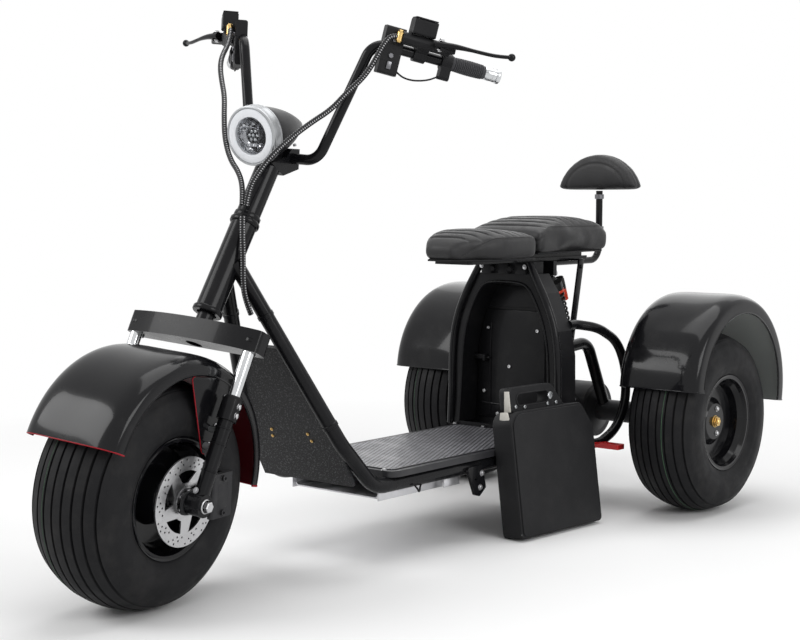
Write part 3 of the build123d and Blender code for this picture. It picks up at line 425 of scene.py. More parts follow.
def curve_mesh(kind, rings, finish, **settings):
    """The points and faces that Blender makes of splines. finish sets what each spline needs."""
    curve = bpy.data.curves.new("line", "CURVE")
    for key, value in settings.items():
        setattr(curve, key, value)
    for ring in rings:
        spline = curve.splines.new(kind)
        spline.points.add(len(ring) - 1)
        for q, point in zip(spline.points, ring):
            q.co = (*point, 1)
        for key, value in finish.items():
            setattr(spline, key, value)
    holder = bpy.data.objects.new("line", curve)
    mesh = bpy.data.meshes.new_from_object(holder)
    verts = [v.co.copy() for v in mesh.vertices]
    faces = [tuple(f.vertices) for f in mesh.polygons]
    bpy.data.objects.remove(holder)
    bpy.data.curves.remove(curve)
    bpy.data.meshes.remove(mesh)
    return verts, faces


def smooth_line(points, count=8):
    """Points along the NURBS spline of the given control points."""
    finish = {"order_u": 3, "use_endpoint_u": True}
    return curve_mesh("NURBS", [points], finish, dimensions="3D", resolution_u=count)[0]


def holed_plate(outer, holes, origin, xdir, ydir, thick, soft=0.0):
    """A flat plate with holes, filled from closed 2D splines and then thickened."""
    rings = [[(x, y, 0) for x, y in ring] for ring in (outer, *holes)]
    verts, faces = curve_mesh("POLY", rings, {"use_cyclic_u": True}, dimensions="2D", fill_mode="BOTH",
                              extrude=thick / 2 - soft, bevel_depth=soft, bevel_resolution=2, offset=-soft)
    zdir = xdir.cross(ydir)
    return [Vector(origin) + xdir * v.x + ydir * v.y + zdir * v.z for v in verts], faces


def tube(line, radius, segments=12, closed=False, squash=1.0):
    """A tube along a line, with the frame carried along without twist. radius may be a list."""
    line = [Vector(q) for q in line]
    count = len(line)
    radii = radius if isinstance(radius, list) else [radius] * count
    verts, faces = [], []
    for i, here in enumerate(line):
        before = line[i - 1] if closed or i else here
        after = line[(i + 1) % count] if closed or i < count - 1 else here
        tangent = (after - before).normalized()
        if i == 0:
            side = frame_of(tangent)[1]
        side = (side - tangent * side.dot(tangent)).normalized()
        up = tangent.cross(side)
        verts += [here + (side * cos(a) + up * sin(a) * squash) * radii[i] for a in around(segments)]
    for i in range(count if closed else count - 1):
        here, there = i * segments, (i + 1) % count * segments
        for k in range(segments):
            m = (k + 1) % segments
            faces.append((here + k, here + m, there + m, there + k))
    if not closed:
        faces += [tuple(range(end, end + segments)) for end in (0, (count - 1) * segments)]
    return verts, faces


def tube_uvs(line, segments):
    """For each corner of tube's faces, its length along the line and its share of the turn."""
    lengths = [0.0]
    for a, b in zip(line, line[1:]):
        lengths.append(lengths[-1] + (b - a).length)
    uvs = []
    for here, there in zip(lengths, lengths[1:]):
        for k in range(segments):
            a, b = k / segments, (k + 1) / segments
            uvs += [(here, a), (here, b), (there, b), (there, a)]
    return uvs + [(0, 0)] * (2 * segments)


def slab(outline, origin, xdir, ydir, low, high, bevel=0.0, segments=2):
    """A flat outline given thickness and softened edges."""
    ydir = (ydir - xdir * ydir.dot(xdir)).normalized()
    zdir = xdir.cross(ydir)
    bm = bmesh.new()
    ring = [bm.verts.new(Vector(origin) + xdir * x + ydir * y + zdir * low) for x, y in outline]
    out = bmesh.ops.extrude_face_region(bm, geom=[bm.faces.new(ring)])
    moved = [g for g in out["geom"] if isinstance(g, bmesh.types.BMVert)]
    bmesh.ops.translate(bm, verts=moved, vec=zdir * (high - low))
    if bevel:
        bmesh.ops.bevel(bm, geom=list(bm.edges), offset=bevel, segments=segments, profile=0.5,
                        affect="EDGES", clamp_overlap=True)
    bm.verts.index_update()
    verts = [v.co.copy() for v in bm.verts]
    faces = [tuple(v.index for v in f.verts) for f in bm.faces]
    bm.free()
    return verts, faces


def block(centre, size, xdir=X, ydir=Y, bevel=1.5):
    w, d, h = (s / 2 for s in size)
    return slab([(-w, -d), (w, -d), (w, d), (-w, d)], centre, xdir, ydir, -h, h, bevel)


def circle(radius, count=24, centre=(0, 0)):
    return [(centre[0] + x, centre[1] + y) for x, y in (polar(radius, a) for a in around(count))]


def rounded(ring, radius, count=5):
    """A closed outline with its corners rounded."""
    out = []
    for i, q in enumerate(ring):
        q = Vector(q)
        a, b = Vector(ring[i - 1]) - q, Vector(ring[(i + 1) % len(ring)]) - q
        r = min(radius, a.length * 0.45, b.length * 0.45)
        a, b = q + a.normalized() * r, q + b.normalized() * r
        for k in range(count + 1):
            t = k / count
            out.append(tuple(a * (1 - t) ** 2 + q * 2 * t * (1 - t) + b * t * t))
    return out


def hex_bolt(place, direction, radius, height=None):
    """A washer, a bevelled hexagon and its flat face."""
    h, r = height or radius * 0.8, radius
    washer = lathe([(0, 0), (0, r * 1.35), (h * 0.18, r * 1.35), (h * 0.2, r)], place, direction, 24)
    head = lathe([(h * 0.2, r), (h * 0.85, r), (h, r * 0.82), (h, 0)], place, direction, 6)
    return merged([washer, head])


def cap_screw(place, direction, radius, height):
    """A socket-head screw with its recess."""
    h, r = height, radius
    profile = [(0, r), (h * 0.85, r), (h, r * 0.86), (h, r * 0.5), (h * 0.45, r * 0.46), (h * 0.45, 0)]
    return lathe(profile, place, direction, 18)


def surface(mesh):
    """A mesh as a tree that rays can hit."""
    return BVHTree.FromPolygons([v.co for v in mesh.vertices], [tuple(f.vertices) for f in mesh.polygons])


# The CAD nodes' materials
FINISH = (
    (frame_black, "head_tube frame_tubes steering_stem fork_bridge fork_collars fork_legs bar_clamp "
                  "handlebar brake_levers headlight_mount seat_plate backrest_post cross_bars swing_arms "
                  "side_hoops fender_stays stand_brackets"),
    (tower_black, "headlight_bowl seat_tower"),
    (gloss_black, "front_fender rear_fender_left rear_fender_right"),
    (plastic_black, "seat_mount throttle_housings brake_masters fluid_reservoirs switch_boxes"),
    (case_black, "battery_case"),
    (rim_black, "front_rim rear_rim_left rear_rim_right"),
    (shock_black, "shocks"),
    (motor_metal, "motor axle_housing brake_caliper"),
    (chrome, "stanchions"),
    (satin, "headlight_bezel fender_spacers"),
    (steel, "front_axle brake_disc"),
    (tray_metal, "under_tray"),
    (red_metal, "foot_pegs"),
    (tyre_rubber, "front_tyre rear_tyre_left rear_tyre_right"),
    (grip_rubber, "grips"),
    (lens_clear, "headlight_lens"),
    (deck_dots, "deck"),
    (speckled, "leg_shield"),
    (leather, "front_saddle rear_saddle backrest_pad"),
    (braid, "hoses_upper hoses_lower"),
)
for material, names in FINISH:
    for node in names.split():
        nodes[node].data.materials.clear()
        nodes[node].data.materials.append(material)


# Wheels: ribbed tyres, whiskers, mould lines, flanges and valves
def arc_point(a, b, c, t):
    """A point at share t of the arc from a through b to c, where the arc turns clockwise."""
    (ax, ay), (bx, by), (cx, cy) = a, b, c
    aa, bb, cc = (x * x + y * y for x, y in (a, b, c))
    d = 2 * (ax * (by - cy) + bx * (cy - ay) + cx * (ay - by))
    ux = (aa * (by - cy) + bb * (cy - ay) + cc * (ay - by)) / d
    uy = (aa * (cx - bx) + bb * (ax - cx) + cc * (bx - ax)) / d
    start, end = (atan2(y - uy, x - ux) for x, y in (a, c))
    while end > start:
        end -= 2 * pi
    x, y = polar(hypot(ax - ux, ay - uy), start + (end - start) * t)
    return ux + x, uy + y


def tread_radius(half, x):
    """The tread's radius at x across the tyre: an arc that falls by 20 mm to the shoulders."""
    arc = ((half * 0.8) ** 2 + 20**2) / 40
    return TYRE_R - (arc - sqrt(arc**2 - x * x))


def tyre_profile(half):
    """The closed outline across a tyre: walls with ridges, and a crown with eight grooves."""
    grooves = [half * k for k in (-0.79, -0.56, -0.34, -0.115, 0.115, 0.34, 0.56, 0.79)]
    shoulder, bead, seat = half * 0.8, half - 12, 118.3
    lip, floor, depth, skin = 2.6, 1.6, 6.5, 0.25
    stops = [-shoulder]
    for g in grooves:
        stops += [g - lip, g - floor, g + floor, g + lip]
    stops.append(shoulder)
    for a, b in list(zip(stops, stops[1:])):
        if b - a > 5:
            stops += [a + (b - a) * k / 3 for k in (1, 2)]
    top = []
    for x in sorted(stops):
        deep = any(abs(x - g) < (floor + lip) / 2 for g in grooves)
        top.append((x, tread_radius(half, x) - (depth if deep else skin)))
    ridges = {3: 0.9, 11: 0.9, 4: -0.9, 10: -0.9, 12: -0.9}
    wall = []
    for k in range(1, 14):
        x, r = arc_point((shoulder, 208), (half, 165), (bead, seat), k / 14)
        wall.append((x + ridges.get(k, -0.3) - 0.3, r))
    wall.append((bead - 0.3, 121.5))
    mirrored = [(-x, r) for x, r in reversed(wall)]
    return [(-bead + 4, seat + 0.6)] + mirrored + top + wall + [(bead - 4, seat + 0.6)]


WHEELS = (
    ("front_wheel", FRONT_HUB, 98, -0.4, 34),
    ("rear_wheel_left", Vector((360, 734, TYRE_R)), 93, 0.27, 40),
    ("rear_wheel_right", Vector((-360, 734, TYRE_R)), 93, -0.27, 40),
)
FLANGE = ((-15, 118.6), (-13.4, 120.4), (-11.6, 119.4), (-12.2, 116), (-15, 112))
VALVE = ((-4, 4), (2, 4), (4, 2.6), (16, 2.6), (16.4, 3.3), (24, 3.3), (25, 2.2), (25, 0))
for body, centre, half, line_at, valve_at in WHEELS:
    tyre = body.replace("wheel", "tyre")
    out = X if centre.x >= 0 else -X
    ribbed = lathe(tyre_profile(half), centre, X, 160, closed=True)
    piece(tyre + "_ribbed", ribbed, tyre_rubber, body, replaces=tyre)
    # Rubber whiskers left by the mould, leaning outwards in a row on each shoulder
    hairs = []
    for row, side in enumerate((1, -1)):
        for a in around(26, pi * row / 26):
            lean = (X * 0.75 * side + spoke(1, a)).normalized()
            foot = centre + X * half * 0.8865 * side + spoke(196, a)
            hairs.append(tube([foot - lean * 2, foot + lean * 0.4, foot + lean * 2], [0.55, 0.5, 0.3], 5))
    piece(tyre + "_whiskers", hairs, tyre_rubber, body)
    at = line_at * half
    r = tread_radius(half, at)
    line = [(at - 0.9, r - 0.5), (at, r + 0.3), (at + 0.9, r - 0.5)]
    piece(tyre + "_mould_line", lathe(line, centre, X, 120), green_line, body)
    ring = [(half + along, radius) for along, radius in FLANGE]
    piece(body + "_flange", lathe(ring, centre, out, 96, closed=True), rim_black, body)
    stem = centre + out * valve_at + spoke(88, 2.2)
    piece(body + "_valve", lathe(VALVE, stem, out, 16), plastic_black, body, "rim_black")

# Wheel nuts
for side, name in SIDES:
    out, body = X * side, "rear_wheel_" + name
    hub = Vector((360 * side, 734, TYRE_R)) + out * 48
    nut = [lathe([(0, 15), (1.6, 15), (2, 13.4)], hub, out, 32),
           lathe([(2, 13.5), (6, 13.5), (6.6, 11.6), (10, 11.6), (10, 6.5)], hub, out, 6),
           lathe([(0, 6.3), (11.5, 6.3), (12.8, 5), (12.8, 0)], hub, out, 20)]
    piece(body + "_nut", nut, brass, body)
    piece(body + "_hub_bolts", [hex_bolt(hub + spoke(32, a), out, 5.2, 5) for a in (1.3, -1.3)], steel, body)
    end = FRONT_HUB + out * 162
    nut = [lathe([(-6, 14), (-1, 14), (0, 12)], end, out, 32),
           lathe([(0, 11), (8, 11), (9.5, 9.2), (9.5, 0)], end, out, 6)]
    piece("front_nut_" + name, nut, steel, "steering")


# Brake rotor
def rotor_holes():
    """The rotor's bore, its five windows and three rows of small holes."""
    holes = [circle(9.6)]
    for middle in around(5, 0.3):
        outer = [polar(61, middle - 0.44 + 0.11 * i) for i in range(9)]
        inner = [polar(37, middle + 0.12 + 0.198 * (1 - 2 * i / 3)) for i in range(4)]
        holes.append(outer + inner)
    for row, radius in enumerate((68, 75, 82)):
        for i, a in enumerate(around(30, row * 0.07)):
            if (i + row) % 3 != 2:
                holes.append(circle(2.1, 10, polar(radius, a)))
    return holes


plate = holed_plate(circle(87, 96), rotor_holes(), FRONT_HUB + X * 111, Y, Z, 3.6)
hub = lathe([(-40, 34), (0.5, 34), (0.5, 30), (4, 29), (4.6, 26), (4.6, 14), (1, 12), (1, 9.4), (-40, 9.4)],
            FRONT_HUB + X * 109, X)
screws = [cap_screw(FRONT_HUB + X * 113 + spoke(21, a), X, 3.4, 3.0) for a in around(5)]
piece("rotor", [plate, hub] + screws, steel, "front_wheel", replaces="brake_disc")

# Saddles and backrest: lengths of the remeshing in metres, and rounds of smoothing
PAD_ROOM, PAD_VOXEL = 0.003, 0.0055
ROUNDS = 14


def bake(ob):
    deps = bpy.context.evaluated_depsgraph_get()
    mesh = bpy.data.meshes.new_from_object(ob.evaluated_get(deps))
    ob.modifiers.clear()
    ob.data = mesh


def inflate(node, pressure, cap):
    """A padded copy of a CAD solid: remeshed, swollen by a cloth simulation, capped and smoothed."""
    mesh = nodes[node].data.copy()
    low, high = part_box(node)
    centre, size = (low + high) / 2, high - low
    for v in mesh.vertices:
        for i in range(3):
            v.co[i] = centre[i] + (v.co[i] - centre[i]) * (1 - 2 * PAD_ROOM / size[i])
    ob = bpy.data.objects.new("pad_" + node, mesh)
    bpy.context.collection.objects.link(ob)
    mod = ob.modifiers.new("remesh", "REMESH")
    mod.mode = "VOXEL"
    mod.voxel_size = PAD_VOXEL
    bake(ob)
    start = [v.co.copy() for v in ob.data.vertices]
    swell(ob, pressure)
    for v, old in zip(ob.data.vertices, start):
        step = v.co - old
        if step.length > cap:
            v.co = old + step * (cap / step.length)
    bm = bmesh.new()
    bm.from_mesh(ob.data)
    for _ in range(ROUNDS):
        bmesh.ops.smooth_vert(bm, verts=bm.verts, factor=0.5, use_axis_x=True, use_axis_y=True,
                              use_axis_z=True)
    bm.to_mesh(ob.data)
    bm.free()
    mod = ob.modifiers.new("sub", "SUBSURF")
    mod.levels = mod.render_levels = 1
    bake(ob)
    return ob


def swell(ob, pressure, frames=20):
    """Blows the object up from inside, as cloth under pressure without gravity."""
    cloth = ob.modifiers.new("cloth", "CLOTH")
    s = cloth.settings
    s.quality = 5
    s.mass = 0.3
    s.tension_stiffness = s.compression_stiffness = 24
    s.shear_stiffness = 14
    s.bending_stiffness = 8.0
    s.use_pressure = True
    s.uniform_pressure_force = pressure
    s.effector_weights.gravity = 0
    cloth.collision_settings.use_collision = False
    scene = bpy.context.scene
    scene.frame_start, scene.frame_end = 1, frames
    cloth.point_cache.frame_start, cloth.point_cache.frame_end = 1, frames
    for f in range(1, frames + 1):
        scene.frame_set(f)
    bake(ob)
    scene.frame_set(1)


def finish_pad(ob, node, shape):
    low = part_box(node)[0]
    mesh = ob.data
    normals = [v.normal.copy() for v in mesh.vertices]
    for v, n in zip(mesh.vertices, normals):
        v.co = shape(v.co.copy(), n)
        v.co.z = max(v.co.z, low.z)
    for poly in mesh.polygons:
        poly.use_smooth = True
    mesh.materials.clear()
    mesh.materials.append(leather)
    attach(ob, "chassis")
    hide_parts(node)
    return surface(mesh)


def dip(distance, width, depth):
    return depth * exp(-((distance / width) ** 2))


# For each saddle: its sewn channels, where its side seam starts and levels out, the seam's heights
# there as shares of the pad's, how much taller than its solid it is, and where its welt runs
SADDLES = {
    "front_saddle": ((158, 186, 214, 242, 270, 298, 326, 352), (150, 235), (0.12, 0.8), 1.2, (152, 376)),
    "rear_saddle": ((412, 442, 472, 502, 532, 562, 592, 622, 650), (385, 440), (0.4, 0.84), 1.08, (386, 696)),
}


def half_width(node, y):
    """Half the saddle's width at y: the front saddle's nose tapers."""
    return 40 + 78 * share(y, 122, 240) ** 0.8 if node == "front_saddle" else 118.0


def seam_share(node, y):
    """Height of the side seam, as a share of the pad's height: it sweeps up from the front."""
    _, run, (low, high), _, _ = SADDLES[node]
    return low + (high - low) * sin(share(y, *run) * pi / 2)


def saddle_shape(node):
    """Channels across a crowned top, and a seam along the side."""
    low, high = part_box(node)
    channels, _, _, grow, _ = SADDLES[node]

    def shape(co, n):
        y, x = co.y * 1000, abs(co.x) * 1000
        half = half_width(node, y)
        inside = max(0.0, 1 - (x / (half * 0.93)) ** 6)
        top = share(n.z, 0.3, 0.7)
        if top > 0:
            step = 0.0
            for line in channels:
                off = y - line - (x / half) ** 2 * 12
                step += dip(off, 3.6, 3.8) - dip(off - 14, 8, 0.9)
            co.z -= step / 1000 * inside * top
        side = max(0.0, 1 - abs(n.z) * 1.3)
        if side > 0:
            off = (co.z - low.z - (high.z - low.z) * seam_share(node, y)) * 1000
            co -= Vector((n.x, n.y, 0)) * dip(off, 2.8, 2.4) * side / 1000
        co.z = low.z + (co.z - low.z) * grow
        crown = max(0.0, 1 - (x / half) ** 2)
        co.z += (0.005 * crown - 0.004) * share(co.z, low.z, low.z + 0.05)
        return co

    return shape


def back_shape(co, n):
    """A seam around the backrest's rim, and an arched one on its face."""
    x, z = co.x * 1000, (co.z - 0.806) * 1000
    side = max(0.0, 1 - abs(n.y) * 1.4)
    co -= Vector((n.x, 0, n.z)) * dip((co.y - 0.826) * 1000, 2.4, 2.0) * side / 1000
    if n.y < -0.4 and z > 8:
        co.y += dip((hypot(x / 128, z / 100) - 0.72) * 100, 3.0, 1.6) / 1000
    return co


pads = {node: finish_pad(inflate(node, 3.6, 0.013), node, saddle_shape(node)) for node in SADDLES}
finish_pad(inflate("backrest_pad", 3.2, 0.012), "backrest_pad", back_shape)


def stitches(pad, points, name, length=4.2):
    """Short raised stitches that follow a line on the pad's top, found by rays from above."""
    found = []
    for q in points:
        place, normal, _, _ = pad.ray_cast(Vector(q) / 1000 + Z * 0.2, -Z, 0.4)
        if place is not None:
            found.append((place * 1000, normal))
    rows = []
    for (a, na), (b, _) in zip(found[::2], found[1::2]):
        if 0.5 <= (b - a).length <= length * 4:
            d = (b - a).normalized() * length
            middle = (a + b) / 2 + na * 0.25
            rows.append(tube([middle - d / 2, middle - d * 0.3 + na * 0.45, middle + d * 0.3 + na * 0.45,
                              middle + d / 2], 0.55, 6))
    piece(name, rows, thread)


for node, (channels, _, _, grow, welt) in SADDLES.items():
    for k, line in enumerate(channels):
        half = half_width(node, line)
        reach = half * 0.8
        count = int(reach * 2 / 3.2)
        xs = [-reach + 2 * reach * i / count for i in range(count)]
        stitches(pads[node], [(x, line + 4.2 + (x / half) ** 2 * 10, 760) for x in xs], f"stitch_{node}_{k}")
    low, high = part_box(node)
    for side, name in SIDES:
        line = []
        for k in range(60):
            y = welt[0] + (welt[1] - welt[0]) * k / 59
            z = low.z + (high.z - low.z) * seam_share(node, y) * grow
            place = pads[node].ray_cast(Vector((0.3 * side, y / 1000, z)), -X * side, 0.4)[0]
            if place is not None:
                line.append(place * 1000 - X * side * 0.4)
        line = smooth_line([line[0]] + line[2:-2:3] + [line[-1]])
        piece(f"welt_{node}_{name}", tube(line, 1.3, 8), leather)

# Headlight: bowl reflector, halo, lamp cells and lens
LAMP = Vector((0, -498, 914))
LAMP_DIR = Vector((0, cos(radians(9.5)), sin(radians(9.5))))
LAMP_RINGS = (
    ("reflector", reflector, 48, False, [(7.5, 37), (12, 33), (18, 24), (22, 12), (23, 0)]),
    ("halo", halo, 72, True, [(0.6, 55), (-0.8, 54.2), (-1.6, 51), (-1.6, 43), (-0.6, 39), (2, 37), (9, 36.6),
                              (9, 46.2), (0.6, 46.4)]),
    ("cell_ring", dark_steel, 40, True, [(22.6, 16.5), (12.5, 16.5), (12, 15.5), (12.5, 14.6), (22.6, 14.6)]),
    ("bead", satin, 72, True, [(3, 61), (0.4, 60.6), (-1.4, 58.4), (-1.0, 56), (0.6, 55), (3, 56)]),
)
for name, material, segments, closed, profile in LAMP_RINGS:
    ring = lathe(profile, LAMP, LAMP_DIR, segments, closed)
    piece("lamp_" + name, ring, material, "steering", "chrome")
cells = [lathe([(22.5, 4.6), (15, 4.6), (13.2, 3.6), (12.2, 1.6), (12, 0)],
               LAMP + Vector((9.5 * cos(a), 0, 9.5 * sin(a))), LAMP_DIR, 16) for a in around(6)]
cells.append(lathe([(22.5, 4.6), (14, 4.6), (12, 3.6), (11, 1.6), (10.8, 0)], LAMP, LAMP_DIR, 16))
piece("lamp_cells", cells, satin, "steering")
glass = lathe([(1.4, 38), (-0.6, 37.6), (-2.0, 30), (-3.0, 18), (-3.4, 0)], LAMP, LAMP_DIR, 64)
piece("lamp_glass", glass, lens_clear, "steering", replaces="headlight_lens")
band = [lathe([(a, 60.6), (a + 0.8, 61.6), (a + 1.8, 61.6), (a + 2.6, 60.6)], LAMP, LAMP_DIR, 72)
        for a in (7, 21.5)]
piece("lamp_band", band, satin, "steering")
boss = lathe([(0, 13), (6, 13), (8, 11.5), (8.4, 6), (7, 5.6), (7, 0)], (31, -420, 925), (1, 0.28, 0), 32)
piece("lamp_boss", boss, plastic_black, "steering")

# Grips with ribs and chrome ends, and brake levers with ball ends
GRIP_CAP = [(-33.4, 11.6), (-33.4, 13), (-31, 14.2), (-20, 14.2), (-19.4, 13.4), (-17, 13.4), (-16.4, 14.2),
            (-11, 14.2), (-10.4, 12.8), (-8.4, 12.8), (-7.8, 15), (-6.6, 15.6), (-1, 15.6), (0.8, 14.4),
            (2.6, 10), (3, 0)]
LEVER = ((282, -266, 1123), (300, -262, 1122), (322, -256, 1121), (346, -248, 1117), (376, -234, 1111),
         (400, -221, 1107), (420, -209, 1107))
BALL = [(-8, 0), (-7.4, 3), (-5.6, 5.7), (-3, 7.4), (0, 8), (3, 7.4), (5.6, 5.7), (7.4, 3), (8, 0)]
ribs = [(-109, 11.6), (-109, 15.8), (-105, 15.8), (-104, 14.0)]
for at in range(-102, -40, 4):
    bulge = 1.1 * sin(pi * min(1, (at + 102) / 64))
    low, high = 13.6 + bulge, 14.9 + bulge
    ribs += [(at, low), (at + 0.9, high), (at + 2.3, high), (at + 3.2, low)]
ribs += [(-37, 13.8), (-33.4, 13.2), (-33, 11.6)]
for side, name in SIDES:
    left = side > 0
    end = Vector((352 * side, -120, 1070))
    grip_dir = (end - Vector((166 * side, -324, 1120))).normalized()
    piece("grip_ribs_" + name, lathe(ribs, end, grip_dir, 40), grip_rubber, "steering",
          replaces="grips" if left else None)
    piece("grip_cap_" + name, lathe(GRIP_CAP, end, grip_dir, 40), chrome, "steering")
    route = smooth_line([(x * side, y, z) for x, y, z in LEVER])
    radii = [9.5 - 4.9 * min(1, i / (len(route) * 0.55)) for i in range(len(route))]
    ball = lathe(BALL, (425 * side, -206, 1107), (0.84 * side, 0.5, 0), 20)
    piece("lever_blade_" + name, [tube(route, radii, 14, squash=0.85), ball], frame_black, "steering",
          replaces="brake_levers" if left else None)

# Braided hoses (free cords)
HOSES = (
    ("hose_left", "hoses_upper", "steering", [
        (221.3, -303.5, 1132.8), (207, -319, 1137), (198, -331, 1118), (190, -342, 1092), (179, -349, 1066),
        (162, -353, 1042), (142, -373, 1014), (124, -398, 978), (100, -433, 949), (80, -471, 916),
        (62, -508, 879), (42, -520, 844), (28, -529, 812), (26, -533, 777)]),
    ("hose_right", None, "steering", [
        (-221.3, -303.5, 1132.8), (-207, -319, 1137), (-197, -334, 1118), (-186, -354, 1098),
        (-174, -386, 1074), (-158, -410, 1050), (-136, -430, 1022), (-110, -450, 990), (-88, -476, 948),
        (-72, -490, 904), (-48, -500, 864), (-14, -510, 838), (8, -524, 808), (14, -532, 777)]),
    ("hose_lower", "hoses_lower", "chassis", [
        (33, -540, 753), (38, -546, 716), (40, -546, 672), (43, -550, 628), (45, -548, 590),
        (48, -533, 556)]),
)
for name, node, body, route in HOSES:
    line = smooth_line(route)
    bends = body == "steering"
    ob = piece(name, tube(line, 5.6, 14), braid, body, replaces=node, rides=not bends)
    layer = ob.data.uv_layers.new(name="UVMap")
    for loop, uv in zip(layer.data, tube_uvs(line, 14)):
        loop.uv = uv
    real = [placed(q, body) for q in line]
    length = sum((b - a).length for a, b in zip(real, real[1:]))
    tuple(real[0])
    [tuple(q) for q in real]
    # The upper hoses ride no body: their placing, turned with the steering, is baked into their points
    if bends:
        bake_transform(ob)

# Seat tower: side tubes, arched flange and back panel
TOWER_TUBE = ((74, 398, 628), (96, 394, 588), (122, 393, 545), (146, 393, 490), (158, 393, 440),
              (163, 393, 380), (163, 393, 300), (166, 393, 240), (170, 396, 210))
for side, name in SIDES:
    line = smooth_line([(x * side, y, z) for x, y, z in TOWER_TUBE])
    piece("tower_tube_" + name, tube(line, 9.5, 16), frame_black)
half_arch = [(-142, 216), (-138, 262), (-134, 330), (-131, 410), (-118, 476), (-92, 536), (-66, 574),
             (-30, 580)]
arch = half_arch + [(0, 580)] + [(-x, z) for x, z in reversed(half_arch)]
inner = [(q.x, q.y) for q in smooth_line([(x, z, 0) for x, z in arch])]
outer = [(-177, 207), (177, 207), (168, 262), (166, 400), (154, 461), (117, 551), (87, 597), (-87, 597),
         (-117, 551), (-154, 461), (-166, 400), (-168, 262)]
piece("tower_flange", holed_plate(outer, [inner], (0, 399, 0), X, Z, 5), tower_black, smooth=False)
piece("tower_inner_rim", tube([(x, 396, z) for x, z in inner], 3.2, 10), frame_black)
wall = [point for x, z in inner for point in ((x, 400, z), (x * 0.965, 457, z - 4))]
faces = [(i, i + 2, i + 3, i + 1) for i in range(0, len(wall) - 2, 2)]
piece("tower_inner_wall", (wall, faces), tower_black)
back = [(-122, 226), (122, 226), (126, 300), (123, 410), (108, 470), (96, 504), (-96, 504), (-108, 470),
        (-123, 410), (-126, 300)]
piece("tower_back_panel", slab(back, (0, 457, 0), X, Z, 0, 5, 1.8), tower_black)
head = [(-90, 512), (90, 512), (74, 546), (52, 566), (-52, 566), (-74, 546)]
piece("tower_head_panel", slab(head, (0, 457, 0), X, Z, 0, 4, 1.6), tower_black)
ribs = [tube([(x, 451.5, 236), (x, 451, 300), (x, 451, 400), (x * 0.96, 451.5, 470)], 2.4, 8)
        for x in (-84, 84)]
ribs.append(tube([(-110, 451.6, 262), (0, 451, 258), (110, 451.6, 262)], 2.2, 8))
piece("tower_back_ribs", ribs, tower_black)
places = ((-91, 456), (62, 455), (-24, 360), (-103, 292), (98, 292), (-60, 236), (60, 236))
piece("tower_screws", [cap_screw((x, 452, z), -Y, 4.6, 3.6) for x, z in places], steel)
connector = [block((-118, 447, 381), (40, 16, 12)), block((-142, 444, 384), (14, 22, 18)),
             block((-96, 446, 379), (8, 20, 16)), lathe([(0, 3), (10, 3), (10, 0)], (-92, 446, 379), X, 12)]
piece("tower_connector", connector, plastic_black)
piece("tower_latch", [block((0, 392, 222), (54, 10, 12)), block((0, 388, 228), (22, 8, 10))], dark_steel)
piece("tower_sill_bolts", [hex_bolt((x, 389, 208.5), Z, 4.6, 4) for x in (-150, -60, 60, 150)], steel)

# Seat mount, saddle pans, post rings and struts
mount = [block((x, 396, 612), (30, 18, 26)) for x in (-52, 0, 52)]
mount += [lathe([(0, 6), (8, 6), (8, 0)], (x, 386, 612), -Y, 16) for x in (-26, 26)]
piece("mount_blocks", mount, plastic_black)
bolts = [hex_bolt((x, y, 637.9), Z, 4.6, 3) for x in (-44, 44) for y in (196, 388)]
bolts += [hex_bolt((x, 387, 618), -Y, 4.2) for x in (-66, 66)]
piece("mount_bolts", bolts, steel)
pan = [(-36, 134), (36, 134), (104, 234), (108, 374), (-108, 374), (-104, 234)]
piece("front_saddle_pan", slab(pan, (0, 0, 638.2), X, Y, 0, 4.5, 1.5), plastic_black)
pan = [(-106, 388), (106, 388), (106, 676), (60, 692), (-60, 692), (-106, 676)]
piece("rear_saddle_pan", slab(pan, (0, 0, 650.2), X, Y, 0, 4, 1.5), plastic_black)
rings = [lathe([(-6, 12.4), (6, 12.4)], (0, 826, z), Z, 24) for z in (704, 790)]
piece("post_rings", rings, dark_steel, slot="brake_steel")
struts = []
for side in (1, -1):
    struts.append(slab([(600, 628), (622, 628), (578, 418), (556, 418)], (84 * side, 0, 0), Y, Z, -3, 3, 1.4))
    struts += [hex_bolt((87 * side, y, z), X * side, 5.5, 4) for y, z in ((606, 612), (574, 452), (566, 426))]
    struts.append(block((70 * side, 611, 629), (34, 24, 5)))
piece("saddle_struts", struts, frame_black)

